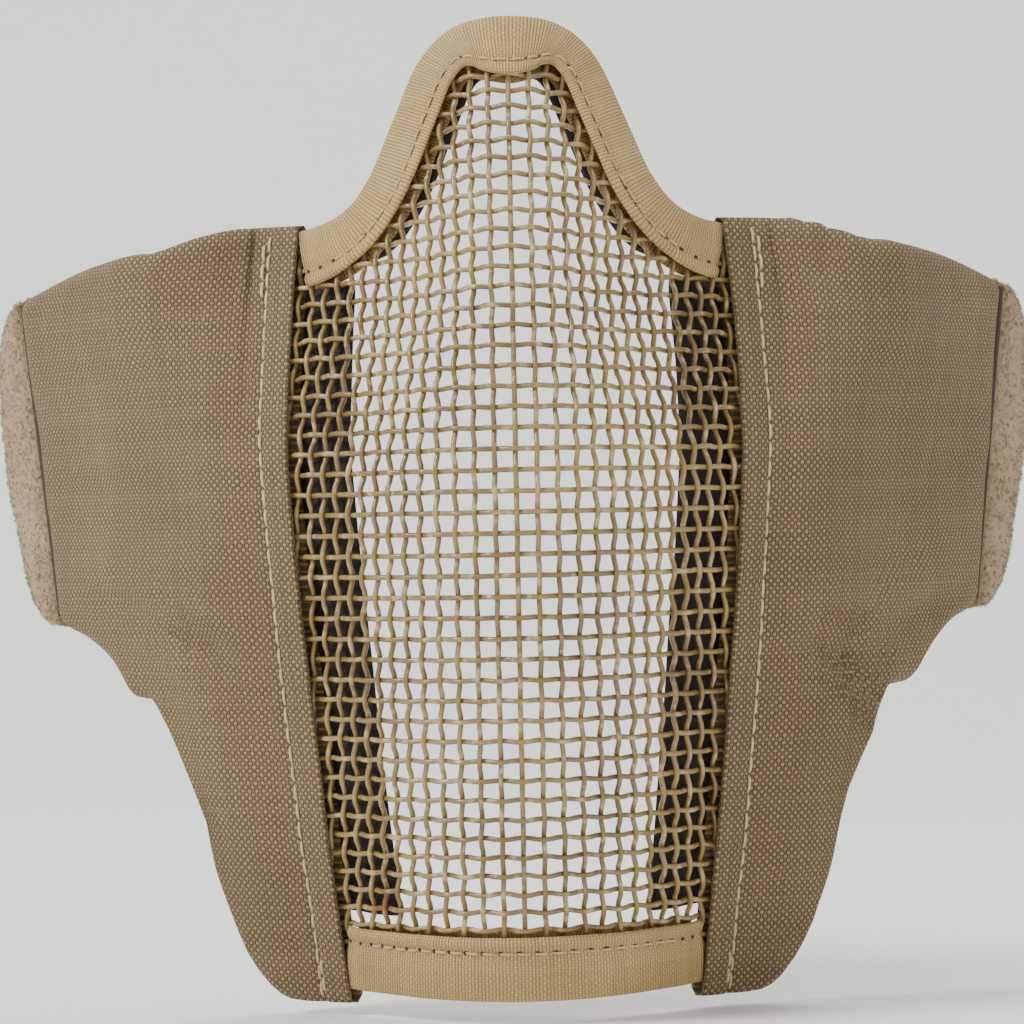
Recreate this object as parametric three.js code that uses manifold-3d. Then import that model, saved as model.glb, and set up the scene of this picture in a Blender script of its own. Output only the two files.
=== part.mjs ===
// Lower-face mask: a domed wire mesh in a folded tape edging, with two padded cheek panels,
// two folding ear flaps edged in loop pile, and a short elastic strap half on each flap.
// Millimetres, +Z up, -Y is the mask's front, left is -X as seen from the front.
// The origin is where the wearer's lips rest, on the plane of symmetry.
import * as THREE from "three";
import { mergeVertices } from "three/addons/utils/BufferGeometryUtils.js";
import Module from "manifold-3d";

const wasm = await Module();
wasm.setup();

// ---- driving dimensions ------------------------------------------------------------------
const lipClearance = 21; // lips to the foremost point of the mesh
const gap = 0.3; // between pieces that lie on each other

// mesh dome
const meshThickness = 1.7; // two crossing wires of 0.85 mm
const upperRidgeRadius = 118; // the ridge leans back above the mouth
const lowerRidgeRadius = 154; // and below it
const sideSlope = 1.17; // depth gained per mm of width on the flat sides
const ridgeHalfWidth = 28; // round part of the ridge at the mouth and chin
const noseHalfWidth = 12; // round part of the ridge at the nose
const noseBlendHeight = 50; // height over which the ridge narrows
const marginWidth = 7; // flatter margin under each side hem
const marginSlope = 0.55;

// outline of the mesh, as seen from the front
const cheekWidth = 50.3; // half width at the widest
const cheekWideHeight = 12; // height of the widest place
const chinWidth = cheekWidth - 9.2; // half width at the chin
const browWidth = cheekWidth - 2.1; // half width at the upper corners
const chinDrop = 93.4; // lips to the chin's lowest edge
const chinCornerDrop = 92.4; // lips to the chin edge at its corners
const shoulderHeight = 54.5; // lips to the mesh's upper corners
const noseHeight = 95.5; // lips to the top of the nose

// tape folded over the edge: how far each flap reaches over the mesh
const tapeThickness = 0.9;
const noseFlap = 12.5;
const chinFlap = 14;
const hemFlap = 8;
const hemSlack = 0.4; // the side hems lie a little off the mesh
const threadSize = 0.6;
const tapeThreadInset = 3.2; // thread to the inner edge of the nose and chin tape
const hemThreadInset = 6.5;

// padding behind the nose and chin tape, and behind the mesh beside the hems
const padThickness = 3.5;
const padFlap = 11;
const sidePadThickness = 3;
const sidePadReach = 18; // from the mesh's edge

// layers of the cheek panels and the ear flaps
const clothThickness = 0.8;
const foamThickness = 3.4;
const seamMargin = 1.1; // cloth turned in round the foam

// cheek panel
const foldX = cheekWidth + 23.7; // where the ear flap folds
const foldDepth = 60; // from the mesh's foremost point to the fold
const foldGap = 5; // bare cloth that the flap folds on
const foldTop = 53.3;
const foldBottom = -36;
const panelTop = 58;
const panelBottom = -97;
const panelBulge = 1.35; // how late the panel turns back, 1 is straight
const jawBow = 16; // extra depth of the lowest part

// ear flap
const earAngle = 57; // degrees back from the frontal plane
const earLength = 58.5; // fold to the rear edge
const pileSeamTop = 44.5; // fold to the slanted seam of the outer pile, at rearTop
const pileSeamBottom = 32.5; // and at rearBottom
const pileInnerStart = 27; // fold to the front edge of the inner pile
const pileThickness = 1.5;
const rearTop = 35; // height of the rear edge's upper end
const rearBottom = -19;

// strap half, folded in two as it is stowed
const strapWidth = 25;
const strapLength = 50;
const strapThickness = 3.2; // two runs of elastic
const strapHeight = 2; // lips to the middle of the strap
const strapRest = 12; // degrees that the stowed strap stands off the flap
const strapAxisInset = 7; // rear edge to the strap's hinge
const tabLength = 18;
const tabThickness = 1.4;
const sliderLength = 13;
const sliderRail = 3;
const sliderBar = 1.8;
const sliderStart = 8; // strap's hinge to the slider
const anchorLength = 9;
const anchorThickness = 1.6;

const foamHalf = foamThickness / 2;
const stackHalf = foamHalf + gap + clothThickness;
const pileFace = stackHalf + gap + pileThickness;
const tapeInner = meshThickness / 2 + gap;
const tapeOuter = tapeInner + tapeThickness;
const strapStandOff = gap + anchorThickness + gap + strapThickness / 2;

// ---- materials ---------------------------------------------------------------------------
const finish = (color, roughness, metalness = 0) =>
  new THREE.MeshStandardMaterial({ color, roughness, metalness });
const paintedWire = finish(0x9c8752, 0.45, 0.2);
const tape = finish(0xb39b69, 0.8);
const cloth = finish(0x8a7556, 0.85);
const lining = finish(0x24221f, 0.9);
const foam = finish(0x2e2c2a, 0.95);
const pile = finish(0xbfa98a, 1);
const thread = finish(0xcdbb92, 0.7);
const elastic = finish(0x7d6b4c, 0.8);
const plastic = finish(0x6e5e42, 0.5);

const group = new THREE.Group();
const addMesh = (parent, name, geometry, material) => {
  const mesh = new THREE.Mesh(geometry, material);
  mesh.name = name;
  parent.add(mesh);
  return mesh;
};

// ---- shape helpers -----------------------------------------------------------------------
const { clamp, degToRad, lerp, smoothstep } = THREE.MathUtils;
const corner = (x, y) => new THREE.Vector2(x, y);

// A closed solid swept through rings of points. Each ring runs along one long side of a strip
// and back along the other, with the same number of points on both.
function sweptStrip(rings) {
  const count = rings[0].length;
  const index = [];
  for (let i = 0; i < rings.length - 1; i++) {
    for (let j = 0; j < count; j++) {
      const a = i * count + j;
      const b = i * count + ((j + 1) % count);
      index.push(a, b, b + count, a, b + count, a + count);
    }
  }
  const last = (rings.length - 1) * count;
  for (let j = 0; j < count / 2 - 1; j++) {
    const [a, b, c, d] = [j, j + 1, count - 2 - j, count - 1 - j];
    index.push(a, c, b, a, d, c);
    index.push(last + a, last + b, last + c, last + a, last + c, last + d);
  }
  const geometry = new THREE.BufferGeometry();
  const positions = rings.flat().flatMap((p) => [p.x, p.y, p.z]);
  geometry.setAttribute("position", new THREE.Float32BufferAttribute(positions, 3));
  geometry.setIndex(index);
  return faceOut(geometry);
}

// Turns a closed geometry's faces outwards if they all point inwards.
function faceOut(geometry) {
  const points = geometry.attributes.position;
  const index = geometry.index.array;
  const [a, b, c] = [new THREE.Vector3(), new THREE.Vector3(), new THREE.Vector3()];
  let volume = 0;
  for (let i = 0; i < index.length; i += 3) {
    a.fromBufferAttribute(points, index[i]);
    b.fromBufferAttribute(points, index[i + 1]);
    c.fromBufferAttribute(points, index[i + 2]);
    volume += a.dot(b.cross(c));
  }
  for (let i = 0; volume < 0 && i < index.length; i += 3) {
    [index[i + 1], index[i + 2]] = [index[i + 2], index[i + 1]];
  }
  geometry.computeVertexNormals();
  return geometry;
}

// A sheet between two offsets of a surface given as surface(u, v, offset).
function sheetSolid(surface, columns, rows, inner, outer) {
  const rings = [];
  for (let i = 0; i <= columns; i++) {
    const row = Array.from({ length: rows + 1 }, (_, j) => j / rows);
    const front = row.map((v) => surface(i / columns, v, outer));
    const back = row.map((v) => surface(i / columns, v, inner)).reverse();
    rings.push([...front, ...back]);
  }
  return sweptStrip(rings);
}

function toManifold(geometry) {
  return new wasm.Manifold(
    new wasm.Mesh({
      numProp: 3,
      vertProperties: new Float32Array(geometry.attributes.position.array),
      triVerts: new Uint32Array(geometry.index.array),
    }),
  );
}

function fromManifold(solid) {
  const mesh = solid.getMesh();
  const bare = new THREE.BufferGeometry();
  bare.setAttribute("position", new THREE.BufferAttribute(mesh.vertProperties, 3));
  bare.setIndex(new THREE.BufferAttribute(mesh.triVerts, 1));
  const geometry = mergeVertices(bare, 1e-4);
  geometry.computeVertexNormals();
  return geometry;
}

// ---- the dome that the mesh is pressed into -------------------------------------------------
// Half width of the mesh from the chin to its upper corners.
function edgeWidth(z) {
  if (z > cheekWideHeight) {
    const t = Math.min(1, (z - cheekWideHeight) / (shoulderHeight - cheekWideHeight));
    return lerp(cheekWidth, browWidth, t * t);
  }
  return lerp(cheekWidth, chinWidth, ((cheekWideHeight - z) / (cheekWideHeight + 92)) ** 1.1);
}

function domeDepth(x, z) {
  const radius = z > 0 ? upperRidgeRadius : lowerRidgeRadius;
  const round = lerp(ridgeHalfWidth, noseHalfWidth, smoothstep(z, 0, noseBlendHeight));
  const across = Math.abs(x);
  const margin = Math.max(0, across - edgeWidth(z) + marginWidth);
  const side = across - margin;
  const slope =
    side < round ? (sideSlope * side * side) / (2 * round) : sideSlope * (side - round / 2);
  return (z * z) / (2 * radius) + slope + marginSlope * margin;
}

// A point over (x, z) of a surface given by its depth, moved outwards along its normal.
function surfacePoint(depth, x, z, offset) {
  const step = 0.5;
  const slopeX = (depth(x + step, z) - depth(x - step, z)) / (2 * step);
  const slopeZ = (depth(x, z + step) - depth(x, z - step)) / (2 * step);
  const outward = new THREE.Vector3(slopeX, -1, slopeZ).normalize();
  const point = new THREE.Vector3(x, depth(x, z) - lipClearance, z);
  return point.addScaledVector(outward, offset);
}

// The edges of the mesh, seen from the front, from left to right or from the chin up.
const curveThrough = (points) =>
  new THREE.CatmullRomCurve3(points.map(([x, z]) => new THREE.Vector3(x, 0, z)));
const wide = browWidth / 48.2; // the nose widens with the brow
const noseSide = [
  [browWidth, shoulderHeight],
  [34 * wide, 57.3],
  [26.6 * wide, 64.4],
  [20.8 * wide, 77.5],
  [16 * wide, 88.1],
  [9.5 * wide, noseHeight - 1.5],
];
const noseCurve = curveThrough([
  ...noseSide.map(([x, z]) => [-x, z]),
  [0, noseHeight],
  ...noseSide.toReversed(),
]);
const noseEdge = (t) => noseCurve.getPoint(t);
const chinEdge = (t) => {
  const x = lerp(-chinWidth, chinWidth, t);
  const sag = (chinDrop - chinCornerDrop) * (1 - (x / chinWidth) ** 2);
  return new THREE.Vector3(x, 0, -chinCornerDrop - sag);
};
const sideEdge = (side) => (t) => {
  const z = lerp(-chinCornerDrop, shoulderHeight, t);
  return new THREE.Vector3(side * edgeWidth(z), 0, z);
};

// A strip along an edge; profile points are (distance over the mesh, offset outwards).
function edgeStrip(edge, inwardSign, profile, steps, cut) {
  const rings = [];
  const step = 0.004;
  for (let i = 0; i <= steps; i++) {
    const t = lerp(cut, 1 - cut, i / steps);
    const { x, z } = edge(t);
    const along = edge(Math.min(1, t + step)).sub(edge(Math.max(0, t - step))).normalize();
    const [inX, inZ] = [along.z * inwardSign, -along.x * inwardSign];
    const rise = (domeDepth(x + inX, z + inZ) - domeDepth(x, z)) ** 2;
    const reach = 1 / Math.sqrt(1 + rise);
    const at = (p) =>
      surfacePoint(domeDepth, x + inX * p.x * reach, z + inZ * p.x * reach, p.y);
    rings.push(profile.map(at));
  }
  return sweptStrip(rings);
}

// Tape folded over the mesh's edge: its outside, then its inside the other way round.
function foldedTape(flap, slack = 0) {
  const [outer, inner] = [tapeOuter + slack, tapeInner + slack];
  return [
    corner(flap, outer),
    corner(flap / 2, outer),
    corner(-gap - tapeThickness, outer),
    corner(-gap - tapeThickness, -outer),
    corner(flap / 2, -outer),
    corner(flap, -outer),
    corner(flap, -inner),
    corner(flap / 2, -inner),
    corner(-gap, -inner),
    corner(-gap, inner),
    corner(flap / 2, inner),
    corner(flap, inner),
  ];
}
const flatStrip = (from, to, low, high) => [
  corner(from, high),
  corner(to, high),
  corner(to, low),
  corner(from, low),
];
const threadLine = (from, slack = 0) => {
  const low = tapeOuter + slack + gap;
  return flatStrip(from, from + threadSize, low, low + threadSize);
};

// ---- mesh, edging, padding and thread ---------------------------------------------------------
function meshSheet() {
  const surface = (u, v, offset) => {
    const top = noseEdge(u);
    const bottom = chinEdge(u);
    const z = lerp(bottom.z, top.z, v);
    const bulge =
      edgeWidth(lerp(-chinCornerDrop, shoulderHeight, v)) - lerp(chinWidth, browWidth, v);
    const share = (2 * u - 1) * Math.abs(2 * u - 1);
    const x = lerp(bottom.x, top.x, v) + share * bulge;
    return surfacePoint(domeDepth, x, z, offset);
  };
  return sheetSolid(surface, 30, 22, -meshThickness / 2, meshThickness / 2);
}

// The nose and chin tape stop at the side hems, and the padding stops a little before that.
function buildFace() {
  addMesh(group, "wire_mesh_panel", meshSheet(), paintedWire);
  const padding = flatStrip(0.5, padFlap, -tapeOuter - gap - padThickness, -tapeOuter - gap);
  for (const [name, edge, sign, flap, steps, cut] of [
    ["nose", noseEdge, 1, noseFlap, 44, 0.052],
    ["chin", chinEdge, -1, chinFlap, 16, 0.105],
  ]) {
    const strip = (profile, extra) => edgeStrip(edge, sign, profile, steps, cut + extra);
    addMesh(group, `${name}_binding`, strip(foldedTape(flap), 0), tape);
    addMesh(group, `${name}_pad`, strip(padding, 0.03), foam);
    addMesh(group, `${name}_stitching`, strip(threadLine(flap - tapeThreadInset), 0.01), thread);
  }
  for (const [name, side] of [["left", -1], ["right", 1]]) {
    const strip = (profile, cut) => edgeStrip(sideEdge(side), -side, profile, 20, cut);
    addMesh(group, `${name}_hem`, strip(foldedTape(hemFlap, hemSlack), 0), cloth);
    const line = strip(threadLine(hemFlap - hemThreadInset, hemSlack), 0.01);
    addMesh(group, `${name}_hem_stitching`, line, thread);
    const near = -tapeInner - gap;
    const padSection = flatStrip(hemFlap + 2 * gap, sidePadReach, near - sidePadThickness, near);
    const sidePad = strip(padSection, 0.11);
    addMesh(group, `${name}_side_pad`, sidePad, foam);
  }
}

// ---- cheek panels -----------------------------------------------------------------------------
const panelEdge = (z) => edgeWidth(z) + tapeThickness + 3 * gap + 0.5;

// Depth of a panel's middle surface, between the hem and the fold.
function panelDepth(x, z) {
  const start = panelEdge(z);
  const t = clamp((x - start) / (foldX - start), 0, 1);
  const back = foldDepth + jawBow * smoothstep(foldBottom - z, 0, 60);
  return lerp(domeDepth(start, z), back, t ** panelBulge);
}

const jawCurve = curveThrough([
  [panelEdge(panelBottom), panelBottom],
  [chinWidth + 6.4, -95.8],
  [chinWidth + 10.8, -90.6],
  [chinWidth + 14.7, -81],
  [chinWidth + 17.6, -71],
  [chinWidth + 19.9, -59.6],
  [foldX - 8.1, -46.5],
  [foldX - foldGap / 2, foldBottom],
]);

// A panel lies between its jaw edge, its top edge, the hem and the fold.
const panelSurface = (side, marginU, marginV) => (u, v, offset) => {
  const [s, t] = [lerp(marginU, 1 - marginU, u), lerp(marginV, 1 - marginV, v)];
  const bottom = jawCurve.getPoint(s);
  const topX = lerp(panelEdge(panelTop), foldX - foldGap / 2, s);
  const topZ = lerp(panelTop, foldTop, s ** 1.6);
  const z = lerp(bottom.z, topZ, t);
  const hemX = panelEdge(lerp(panelBottom, panelTop, t));
  const straightHem = lerp(panelEdge(panelBottom), panelEdge(panelTop), t);
  const x = lerp(bottom.x, topX, t) + (hemX - straightHem) * (1 - s);
  const point = surfacePoint(panelDepth, x, z, offset);
  point.x *= side;
  return point;
};

// The cover is turned in round the foam, and the lining closes it at the back.
function buildCheek(name, side) {
  const part = (insetU, insetV, inner, outer) =>
    sheetSolid(panelSurface(side, insetU, insetV), 8, 12, inner, outer);
  const [u, v] = [seamMargin / 26, seamMargin / 120];
  const [innerU, innerV] = [(seamMargin + 2 * gap) / 26, (seamMargin + 2 * gap) / 120];
  const block = toManifold(part(0, 0, -stackHalf, stackHalf));
  const room = toManifold(part(u, v, -stackHalf - 3, foamHalf + gap));
  addMesh(group, `${name}_cheek_cover`, fromManifold(block.subtract(room)), cloth);
  addMesh(group, `${name}_cheek_foam`, part(innerU, innerV, -foamHalf, foamHalf), foam);
  const back = part(innerU, innerV, -stackHalf, -foamHalf - gap);
  addMesh(group, `${name}_cheek_lining`, back, lining);
}

// ---- ear flaps --------------------------------------------------------------------------------
// A flap's own frame: X runs from the fold to the rear edge, Y points into the mask, Z is up.
const earOutline = [
  [foldGap / 2, foldTop],
  [22, 51.3],
  [earLength - 17.4, 47.6],
  [earLength - 9.4, 45.4],
  [earLength - 3.9, 41.5],
  [earLength - 0.4, rearTop],
  [earLength, 29],
  [earLength - 2.3, 12],
  [earLength - 7.5, -3],
  [earLength - 12, -13],
  [earLength - 16.5, rearBottom + 0.6],
  [earLength - 23, rearBottom - 2],
  [30, rearBottom - 3.2],
  [20, -24.8],
  [10, -29.6],
  [foldGap / 2, foldBottom],
];

const seamSlope = (pileSeamTop - pileSeamBottom) / (rearTop - rearBottom);
const seamAt = (z) => pileSeamBottom + seamSlope * (z - rearBottom);
const upright = (distance) => () => distance;
const beside = (shift) => (z) => seamAt(z) + shift;

// A plate of the flap's outline between two lines across it and two depths into the mask.
function earPlate(from, to, near, far, margin) {
  const reach = 90;
  const range = new wasm.CrossSection([
    [
      [from(-reach), -reach],
      [to(-reach), -reach],
      [to(reach), reach],
      [from(reach), reach],
    ],
  ]);
  const outline = new wasm.CrossSection([earOutline.toReversed()]);
  const kept = outline.offset(-margin, "Miter").intersect(range);
  return kept.extrude(far - near).rotate([90, 0, 0]).translate([0, far, 0]);
}

function block(size, center) {
  return wasm.Manifold.cube(size, true).translate(center);
}

// Loop pile round the flap's rear: a pocket over the padding, with a longer face inside.
function pileWrap() {
  const room = stackHalf + gap;
  const rear = upright(earLength);
  return earPlate(beside(0), rear, -pileFace, pileFace, 0)
    .add(earPlate(upright(pileInnerStart), rear, room, pileFace, 0))
    .subtract(earPlate(upright(0), rear, -room, room, pileThickness))
    .subtract(earPlate(upright(0), beside(0), -room, room, -10));
}

function slider() {
  const half = strapThickness / 2 + gap;
  const height = 2 * (half + sliderBar);
  const railZ = strapWidth / 2 + gap + sliderRail / 2;
  const bar = (x, y) => block([sliderBar, sliderBar, 2 * railZ], [x, y, 0]);
  const rail = (z) => block([sliderLength, height, sliderRail], [sliderLength / 2, 0, z]);
  const barY = half + sliderBar / 2;
  return rail(railZ)
    .add(rail(-railZ))
    .add(bar(sliderBar / 2, -barY))
    .add(bar(sliderLength - sliderBar / 2, -barY))
    .add(bar(sliderLength / 2, barY))
    .translate([sliderStart, 0, 0]);
}

// A flat band with round ends, from the strap's hinge along its X axis.
function elasticBand() {
  const radius = strapThickness / 2;
  const end = (x) => wasm.CrossSection.circle(radius, 16).translate([x, 0]);
  const outline = wasm.CrossSection.hull([end(0), end(strapLength - radius)]);
  return outline.extrude(strapWidth).translate([0, 0, -strapWidth / 2]);
}

function buildEar(name, side) {
  const put = (node, solid, material) => {
    const placed = solid.rotate([0, 0, earAngle]).translate([foldX, foldDepth - lipClearance, 0]);
    const sided = side < 0 ? placed.mirror([1, 0, 0]) : placed;
    addMesh(group, `${name}_${node}`, fromManifold(sided), material);
  };
  const [start, seam, rear] = [upright(0), beside(-gap), upright(earLength)];
  const inset = seamMargin + gap;
  const room = foamHalf + gap;
  const cover = earPlate(start, seam, -stackHalf, stackHalf, 0).subtract(
    earPlate(start, beside(1), -room, stackHalf + 1, seamMargin),
  );
  const fold = block([foldGap - 2 * gap, clothThickness, foldTop - foldBottom], [0, 0, 0]);
  put("fold", fold.translate([0, 0, (foldTop + foldBottom) / 2]), cloth);
  put("ear_cover", cover, cloth);
  const foamInset = Math.max(inset, pileThickness + gap);
  put("ear_foam", earPlate(start, rear, -foamHalf, foamHalf, foamInset), foam);
  put("ear_lining", earPlate(start, seam, room, stackHalf, inset), lining);
  put("pile_edge", pileWrap(), pile);
  const threadFace = -stackHalf - gap;
  const line = [beside(-2), beside(threadSize - 2), threadFace - threadSize, threadFace];
  put("pile_stitching", earPlate(...line, 4), thread);

  const axis = [earLength - strapAxisInset - 2, pileFace + strapStandOff, strapHeight];
  const strap = (solid) => solid.rotate([0, 0, 180 - strapRest]).translate(axis);
  const anchorY = pileFace + gap + anchorThickness / 2;
  const anchor = block([anchorLength, anchorThickness, strapWidth], [axis[0], anchorY, axis[2]]);
  put("strap_anchor", anchor, elastic);
  put("strap_web", strap(elasticBand()), elastic);
  const tabY = -strapThickness / 2 - gap - tabThickness / 2;
  const tab = block([tabLength, tabThickness, strapWidth], [strapLength - tabLength / 2 - 2, tabY, 0]);
  put("strap_tab", strap(tab), pile);
  put("strap_slider", strap(slider()), plastic);
}

buildFace();
for (const [name, side] of [["left", -1], ["right", 1]]) {
  buildCheek(name, side);
  buildEar(name, side);
}

export default group;
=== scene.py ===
"""Lower-face mask: woven wire front, folded tape edging, padded cloth wings, stowed strap halves.

Lengths in the classes are millimetres in the mask's own frame: +Z up, -Y is the front, and the
origin is where the wearer's lips rest. Meshes are written in metres.
"""

import functools
import logging
import math
import random
from collections.abc import Callable, Iterable, Sequence
from dataclasses import dataclass, field
from enum import Enum

import bmesh
import bpy
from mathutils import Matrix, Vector, noise


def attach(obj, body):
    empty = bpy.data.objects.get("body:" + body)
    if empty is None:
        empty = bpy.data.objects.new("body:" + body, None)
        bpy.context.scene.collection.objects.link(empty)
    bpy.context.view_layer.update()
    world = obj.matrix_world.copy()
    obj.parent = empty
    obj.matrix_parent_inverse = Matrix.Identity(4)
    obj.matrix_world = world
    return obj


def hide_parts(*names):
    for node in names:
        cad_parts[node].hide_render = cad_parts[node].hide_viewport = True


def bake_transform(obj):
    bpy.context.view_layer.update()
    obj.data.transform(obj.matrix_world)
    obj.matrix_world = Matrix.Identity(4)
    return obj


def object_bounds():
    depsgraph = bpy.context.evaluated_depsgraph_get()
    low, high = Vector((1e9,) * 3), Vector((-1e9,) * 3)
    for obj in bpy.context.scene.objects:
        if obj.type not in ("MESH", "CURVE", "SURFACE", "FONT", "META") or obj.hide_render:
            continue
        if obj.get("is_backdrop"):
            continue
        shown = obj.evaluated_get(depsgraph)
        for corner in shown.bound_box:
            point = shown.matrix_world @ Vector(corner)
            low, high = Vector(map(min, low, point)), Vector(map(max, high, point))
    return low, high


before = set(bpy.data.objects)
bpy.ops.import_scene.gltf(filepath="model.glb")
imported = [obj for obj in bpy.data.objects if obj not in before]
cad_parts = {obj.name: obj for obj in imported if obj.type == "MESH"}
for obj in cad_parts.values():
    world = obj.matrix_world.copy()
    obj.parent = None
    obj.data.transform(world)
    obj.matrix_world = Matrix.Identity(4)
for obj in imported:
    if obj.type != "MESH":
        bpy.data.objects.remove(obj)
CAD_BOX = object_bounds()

MM = 0.001
LOG = logging.getLogger("mask")

Ring = Sequence[Vector]
Pair = tuple[float, float]
Station = tuple[float, float, float, float, float]  # x, z, the inward direction and its reach


class Side(Enum):
    """A side of the mask as seen from the front, with the sign of its X."""

    LEFT = -1
    RIGHT = 1

    @property
    def word(self) -> str:
        """The side's name in piece and body names."""
        return self.name.lower()


# ---- small maths ---------------------------------------------------------------------------


def lerp(low: float, high: float, share: float) -> float:
    """Return the value at a share of the way from low to high."""
    return low + (high - low) * share


def smoothstep(value: float, low: float, high: float) -> float:
    """Return 0 below low, 1 above high, and a smooth rise between."""
    share = min(1.0, max(0.0, (value - low) / (high - low)))
    return share * share * (3 - 2 * share)


def bell(value: float, width: float) -> float:
    """Return a bell curve that is 1 at zero and small beyond twice the width."""
    return math.exp(-((value / width) ** 2))


def wobble(place: Sequence[float], size: float, seed: float = 0.0) -> float:
    """Return smooth noise.

    Args:
        place: Where it is read, in mm.
        size: Width of its features, in mm.
        seed: Shifts the noise to another pattern.

    Returns:
        A value from about -1 to 1.
    """
    return noise.noise(Vector(place) / size + Vector((seed, 7.3 * seed, 1.7)))


def knots(table: Sequence[Pair], value: float) -> float:
    """Return a smooth curve through a few (input, output) knots, flat past its ends.

    Args:
        table: Knots in rising order of input.
        value: The input.

    Returns:
        The curve's output.
    """
    if value <= table[0][0]:
        return table[0][1]
    for index in range(len(table) - 1):
        (x0, y0), (x1, y1) = table[index], table[index + 1]
        if value <= x1:
            before = table[index - 1] if index else table[index]
            after = table[index + 2] if index + 2 < len(table) else table[index + 1]
            share, span = (value - x0) / (x1 - x0), x1 - x0
            m0 = (y1 - before[1]) / (x1 - before[0]) * span
            m1 = (after[1] - y0) / (after[0] - x0) * span
            square, cube = share * share, share**3
            return (
                (2 * cube - 3 * square + 1) * y0
                + (cube - 2 * square + share) * m0
                + (3 * square - 2 * cube) * y1
                + (cube - square) * m1
            )
    return table[-1][1]


@dataclass(frozen=True)
class Curve:
    """A smooth curve through a few points seen from the front, as (x, z)."""

    points: tuple[Pair, ...]

    def at(self, share: float) -> Pair:
        """Return the curve's point at a share from 0 to 1, with equal shares between points."""
        count = len(self.points) - 1
        place = min(max(share, 0.0), 1.0) * count
        index = min(int(place), count - 1)
        t = place - index
        p1, p2 = self.points[index], self.points[index + 1]
        p0 = self.points[index - 1] if index else (2 * p1[0] - p2[0], 2 * p1[1] - p2[1])
        last = index + 2 > count
        p3 = (2 * p2[0] - p1[0], 2 * p2[1] - p1[1]) if last else self.points[index + 2]
        out = []
        for a, b, c, d in zip(p0, p1, p2, p3):
            out.append(
                b
                + 0.5 * t * (c - a)
                + t * t * (a - 2.5 * b + 2 * c - 0.5 * d)
                + t**3 * 0.5 * (3 * b - a - 3 * c + d)
            )
        return (out[0], out[1])


# ---- mesh making ---------------------------------------------------------------------------


def link(name: str, data: bpy.types.Mesh) -> bpy.types.Object:
    """Put a mesh in the scene under its name, with its object at the origin."""
    piece = bpy.data.objects.new(name, data)
    bpy.context.scene.collection.objects.link(piece)
    return piece


def mesh_piece(
    name: str,
    points: Sequence[Vector],
    faces: Sequence[Sequence[int]],
    corner_uvs: Sequence[Pair] | None = None,
    smooth: bool = True,
) -> bpy.types.Object:
    """Make a piece from points in mm.

    Args:
        name: The piece's name.
        points: Vertices in mm.
        faces: Vertex numbers of each face, anticlockwise from outside.
        corner_uvs: One (u, v) in mm for each face corner, in order.
        smooth: Whether its faces are shaded smooth.

    Returns:
        The new object.
    """
    data = bpy.data.meshes.new(name)
    data.from_pydata([p * MM for p in points], [], faces)
    if corner_uvs is not None:
        layer = data.uv_layers.new(name="cloth")
        layer.data.foreach_set("uv", [c for uv in corner_uvs for c in uv])
    data.validate()
    face_outwards(data)
    if smooth:
        data.shade_smooth()
    return link(name, data)


def face_outwards(data: bpy.types.Mesh) -> None:
    """Turn a closed mesh's faces so that they all point outwards."""
    shape = bmesh.new()
    shape.from_mesh(data)
    if shape.calc_volume(signed=True) < 0:
        bmesh.ops.reverse_faces(shape, faces=shape.faces)
        shape.to_mesh(data)
    shape.free()


def swept(
    name: str,
    rings: Sequence[Ring],
    uv_at: Callable[[int, int], Pair],
    close_ends: bool = True,
) -> bpy.types.Object:
    """Make a closed piece from closed rings of points.

    Args:
        name: The piece's name.
        rings: Rings of equal length, in mm.
        uv_at: Gives (u, v) in mm for ring i and point j; j is one past the last on the way back.
        close_ends: Whether a face closes each end.

    Returns:
        The new object.
    """
    count = len(rings[0])
    points = [p for ring in rings for p in ring]
    faces, uvs = [], []
    for i in range(len(rings) - 1):
        for j in range(count):
            k = (j + 1) % count
            faces.append((i * count + j, i * count + k, (i + 1) * count + k, (i + 1) * count + j))
            uvs += [uv_at(i, j), uv_at(i, j + 1), uv_at(i + 1, j + 1), uv_at(i + 1, j)]
    if close_ends:
        last = len(rings) - 1
        faces.append(tuple(reversed(range(count))))
        faces.append(tuple(range(last * count, last * count + count)))
        uvs += [uv_at(0, j) for j in reversed(range(count))]
        uvs += [uv_at(last, j) for j in range(count)]
    return mesh_piece(name, points, faces, uvs)


def ring_lengths(ring: Ring) -> list[float]:
    """Return the distance round a closed ring at each point, and all the way round at the end."""
    out = [0.0]
    for j in range(len(ring)):
        out.append(out[-1] + (ring[(j + 1) % len(ring)] - ring[j]).length)
    return out


def path_lengths(path: Ring) -> list[float]:
    """Return the distance along an open path at each of its points."""
    out = [0.0]
    for before, after in zip(path, path[1:]):
        out.append(out[-1] + (after - before).length)
    return out


def along(path: Ring, lengths: Sequence[float], distance: float) -> Vector:
    """Return the point of a path at a distance from its start."""
    for index in range(1, len(path)):
        if distance <= lengths[index] or index == len(path) - 1:
            span = max(1e-9, lengths[index] - lengths[index - 1])
            return path[index - 1].lerp(path[index], (distance - lengths[index - 1]) / span)
    return path[-1]


@dataclass(frozen=True)
class Strand:
    """A round thread, wire or fibre along a path."""

    path: tuple[Vector, ...]
    normals: tuple[Vector, ...]
    radii: tuple[float, ...]


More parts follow.
